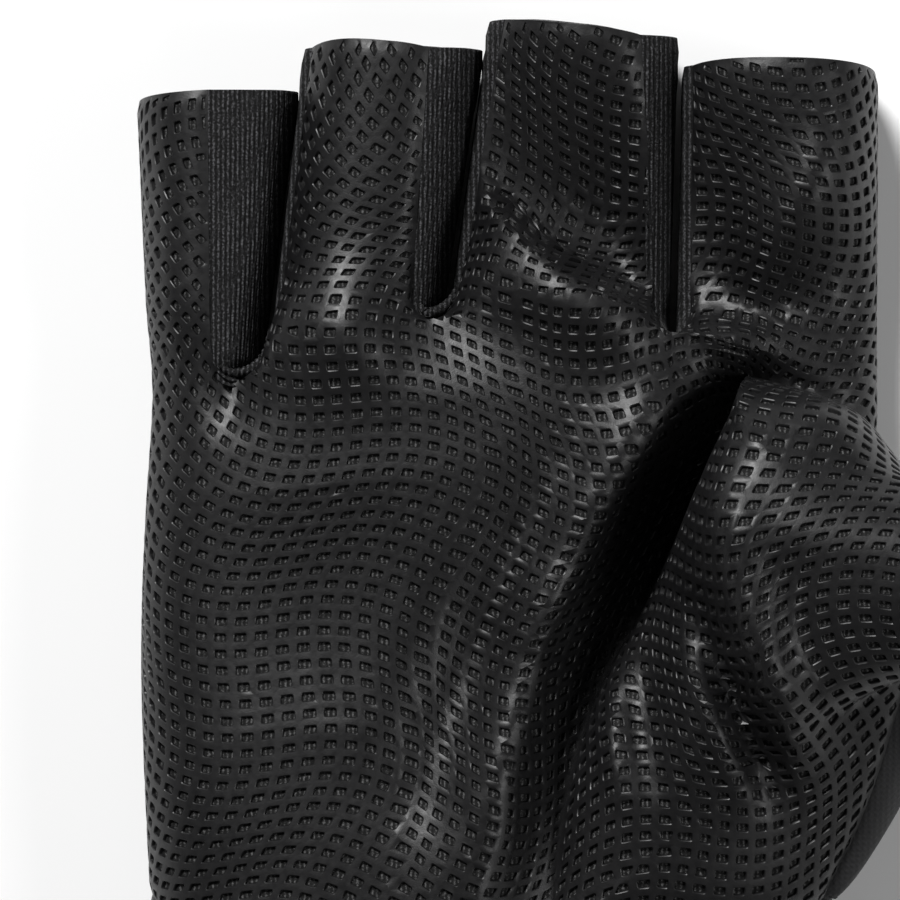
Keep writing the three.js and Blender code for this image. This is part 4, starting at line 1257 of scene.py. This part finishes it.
def calculate(tree, operation, *values):
    """Result of a sum, its values numbers or other nodes' results."""
    node = add_node(tree, "ShaderNodeMath", operation=operation)
    for socket, value in zip(node.inputs, values):
        if isinstance(value, float):
            socket.default_value = value
        else:
            tree.links.new(value, socket)
    return node.outputs[0]


def ramp(tree, factor, *stops):
    """Colour ramp with stops of place and colour."""
    node = tree.nodes.new("ShaderNodeValToRGB")
    tree.links.new(factor, node.inputs["Fac"])
    elements = node.color_ramp.elements
    elements[0].position, elements[0].color = stops[0][0], (*stops[0][1], 1)
    elements[1].position, elements[1].color = stops[-1][0], (*stops[-1][1], 1)
    for place, colour in stops[1:-1]:
        elements.new(place).color = (*colour, 1)
    return node.outputs["Color"]


def bump(tree, height, strength, distance, before=None):
    node = add_node(tree, "ShaderNodeBump", Strength=strength, Distance=distance)
    tree.links.new(height, node.inputs["Height"])
    if before is not None:
        tree.links.new(before, node.inputs["Normal"])
    return node.outputs["Normal"]


def leather_material(name):
    material, tree, surface, place = node_material(name, (0.006, 0.006, 0.006), 0.44)
    colour = ramp(tree, noise(tree, place, scale=60.0, detail=3.0), (0.3, LEATHER_DARK), (0.7, LEATHER_LIGHT))
    tree.links.new(colour, surface.inputs["Base Color"])
    wear = noise(tree, place, scale=900.0, detail=3.0)
    rough = ramp(tree, wear, (0.3, LEATHER_SMOOTH), (0.75, LEATHER_ROUGH))
    tree.links.new(rough, surface.inputs["Roughness"])
    grain = bump(tree, noise(tree, place, scale=5200.0, roughness=0.6), strength=0.35, distance=0.00004)
    cracks = noise(tree, place, scale=420.0, detail=3.0, roughness=0.55)
    creases = bump(tree, cracks, strength=0.35, distance=0.0002, before=grain)
    tree.links.new(creases, surface.inputs["Normal"])
    surface.inputs["Specular IOR Level"].default_value = 0.40
    return material


def knit_material(name, dark, light):
    material, tree, surface, place = node_material(name, dark, 0.8)
    grain = noise(tree, place, KNIT_GRAIN_SCALE, roughness=0.65)
    # The rib bands and the ramp's brightest stop paint glints of light along the ribs into the knit's colour;
    # the same pattern also gives the knit's bump.
    ribs = bands(tree, place, "X", RIB_BANDS_SCALE, distortion=1.4, detail=2.0, detail_scale=1.5)
    loops_and_painted_glints = calculate(tree, "MULTIPLY_ADD", ribs, RIB_BANDS_SHARE, grain)
    painted_glint = tuple(KNIT_PAINTED_GLINT * v for v in light)
    colour = ramp(tree, loops_and_painted_glints, (0.50, dark), (0.68, light), (0.90, painted_glint))
    tree.links.new(colour, surface.inputs["Base Color"])
    loops = bump(tree, loops_and_painted_glints, strength=0.8, distance=0.00012)
    tree.links.new(loops, surface.inputs["Normal"])
    surface.inputs["Sheen Weight"].default_value = 0.05
    surface.inputs["Sheen Roughness"].default_value = 0.4
    surface.inputs["Specular IOR Level"].default_value = 0.20
    return material


def cloth_material(name):
    material, tree, surface, place = node_material(name, (0.018, 0.018, 0.021), 0.78)
    colour = ramp(tree, noise(tree, place, scale=90.0, detail=3.0), (0.3, CLOTH_DARK), (0.7, CLOTH_LIGHT))
    tree.links.new(colour, surface.inputs["Base Color"])
    weave = [bands(tree, place, direction, CLOTH_BANDS_SCALE, distortion=1.2, detail=1.0, detail_scale=6.0)
             for direction in ("X", "Y")]
    threads = bump(tree, calculate(tree, "MULTIPLY", *weave), strength=0.5, distance=0.00012)
    fuzz = bump(tree, noise(tree, place, scale=2600.0), strength=0.35, distance=0.0001, before=threads)
    tree.links.new(fuzz, surface.inputs["Normal"])
    surface.inputs["Sheen Weight"].default_value = 0.08
    surface.inputs["Sheen Roughness"].default_value = 0.45
    return material


def floor_material():
    material, tree, surface, place = node_material("studio_floor", (0.86, 0.86, 0.86), 0.7)
    colour = ramp(tree, noise(tree, place, scale=3.0), (0.3, FLOOR_DARK), (0.7, FLOOR_LIGHT))
    tree.links.new(colour, surface.inputs["Base Color"])
    return material


# Building
leather = leather_material("perforated_leather")
backing_knit = knit_material("backing_knit", BACKING_DARK, BACKING_LIGHT)
side_knit = knit_material("side_knit", KNIT_DARK, KNIT_LIGHT)
cloth = cloth_material("stretch_cloth")

coarse_skin = make_skin(1, GUSSET_COLUMNS)
fine_skin = make_skin(FINER, int(GUSSET_SECTION / RIB_PITCH) * RIB_STEPS)
layouts = leather_layout(coarse_skin, fine_skin)


def dress(made, material, node, replaces=True):
    made.data.materials.append(material)
    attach(made, "root")
    if replaces:
        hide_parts(node)


for name, slot in (("palm_panel", "palm_leather"), ("thumb_front", "thumb_leather")):
    piece = layouts[name]
    dress(perforated_sheet(name + "_sheet", piece), leather, name)
    backing = shell(name + "_backing", piece, BACKING_DEPTH, LEATHER_WALL)
    dress(backing, backing_knit, name, replaces=False)

for name, wall, slot in (("thumb_back", CLOTH_WALL, "back_cloth"), ("back_panel", CLOTH_WALL, "back_cloth"),
                         ("wrist_cuff", CUFF_WALL, "cuff_cloth")):
    piece = cut_piece(fine_skin, name)
    dip = seam_dip(piece, piece["points"], CLOTH_DIP, CLOTH_DIP_REACH)
    dress(shell(name + "_dressed", piece, dip, wall), cloth, name)

for name in GUSSETS:
    made = ribbed_wall(name + "_dressed", cut_piece(fine_skin, name), fine_skin["shapes"][name][0])
    dress(made, side_knit, name)

# The two side walls that show have a gathered rim
for slit, name in enumerate(GUSSETS[:2], 1):
    rim = gathered_rim(name + "_rim", gusset_patch(slit, FINER, 1)[:, 0])
    dress(rim, side_knit, name, replaces=False)


# Studio, in metres. The picture shows 116.88 mm of the glove from side to side, from straight above.
VIEW_WIDTH = 116.88
VIEW_CENTRE = (-7.79, 80.52)
VIEW_HEIGHT = 9.0
LENS = 400.0
SENSOR = 36.0
CLIP_END = 10.0
FLOOR_HALF = 2.0
FLOOR_BELOW = 0.0002
WORLD_LIGHT = 0.09


def area_light(name, place, target, size, power_watts):
    data = bpy.data.lights.new(name, "AREA")
    data.shape = "DISK"
    data.size = size
    data.energy = power_watts
    made = bpy.data.objects.new(name, data)
    bpy.context.scene.collection.objects.link(made)
    made.location = place
    made.rotation_euler = (Vector(target) - Vector(place)).to_track_quat("-Z", "Y").to_euler()


def add_floor():
    mesh = bpy.data.meshes.new("studio_floor")
    corners = [(FLOOR_HALF * x, FLOOR_HALF * y, 0) for x, y in ((-1, -1), (1, -1), (1, 1), (-1, 1))]
    mesh.from_pydata(corners, [], [(0, 1, 2, 3)])
    made = bpy.data.objects.new("studio_floor", mesh)
    made.location.z = -FLOOR_BELOW
    bpy.context.scene.collection.objects.link(made)
    made.data.materials.append(floor_material())


def add_camera():
    data = bpy.data.cameras.new("photo_camera")
    data.lens = LENS
    data.sensor_width = SENSOR
    data.clip_end = CLIP_END
    made = bpy.data.objects.new("photo_camera", data)
    bpy.context.scene.collection.objects.link(made)
    distance = VIEW_WIDTH * LENS / SENSOR
    made.location = (np.array([*VIEW_CENTRE, VIEW_HEIGHT + distance]) + PART_ORIGIN) * METRES
    bpy.context.scene.camera = made


def add_lights():
    area_light("key_light", (-0.60, 1.30, 1.46), target=(0, 0, 0.01), size=0.62, power_watts=58.0)
    area_light("fill_light", (0.95, -0.25, 0.75), target=(0, 0, 0), size=0.5, power_watts=5.0)
    world = bpy.data.worlds.new("studio_world")
    world.use_nodes = True
    background = world.node_tree.nodes["Background"]
    background.inputs["Color"].default_value = (1, 1, 1, 1)
    background.inputs["Strength"].default_value = WORLD_LIGHT
    bpy.context.scene.world = world
    bpy.context.scene.view_settings.view_transform = "Standard"


add_floor()
add_camera()
add_lights()
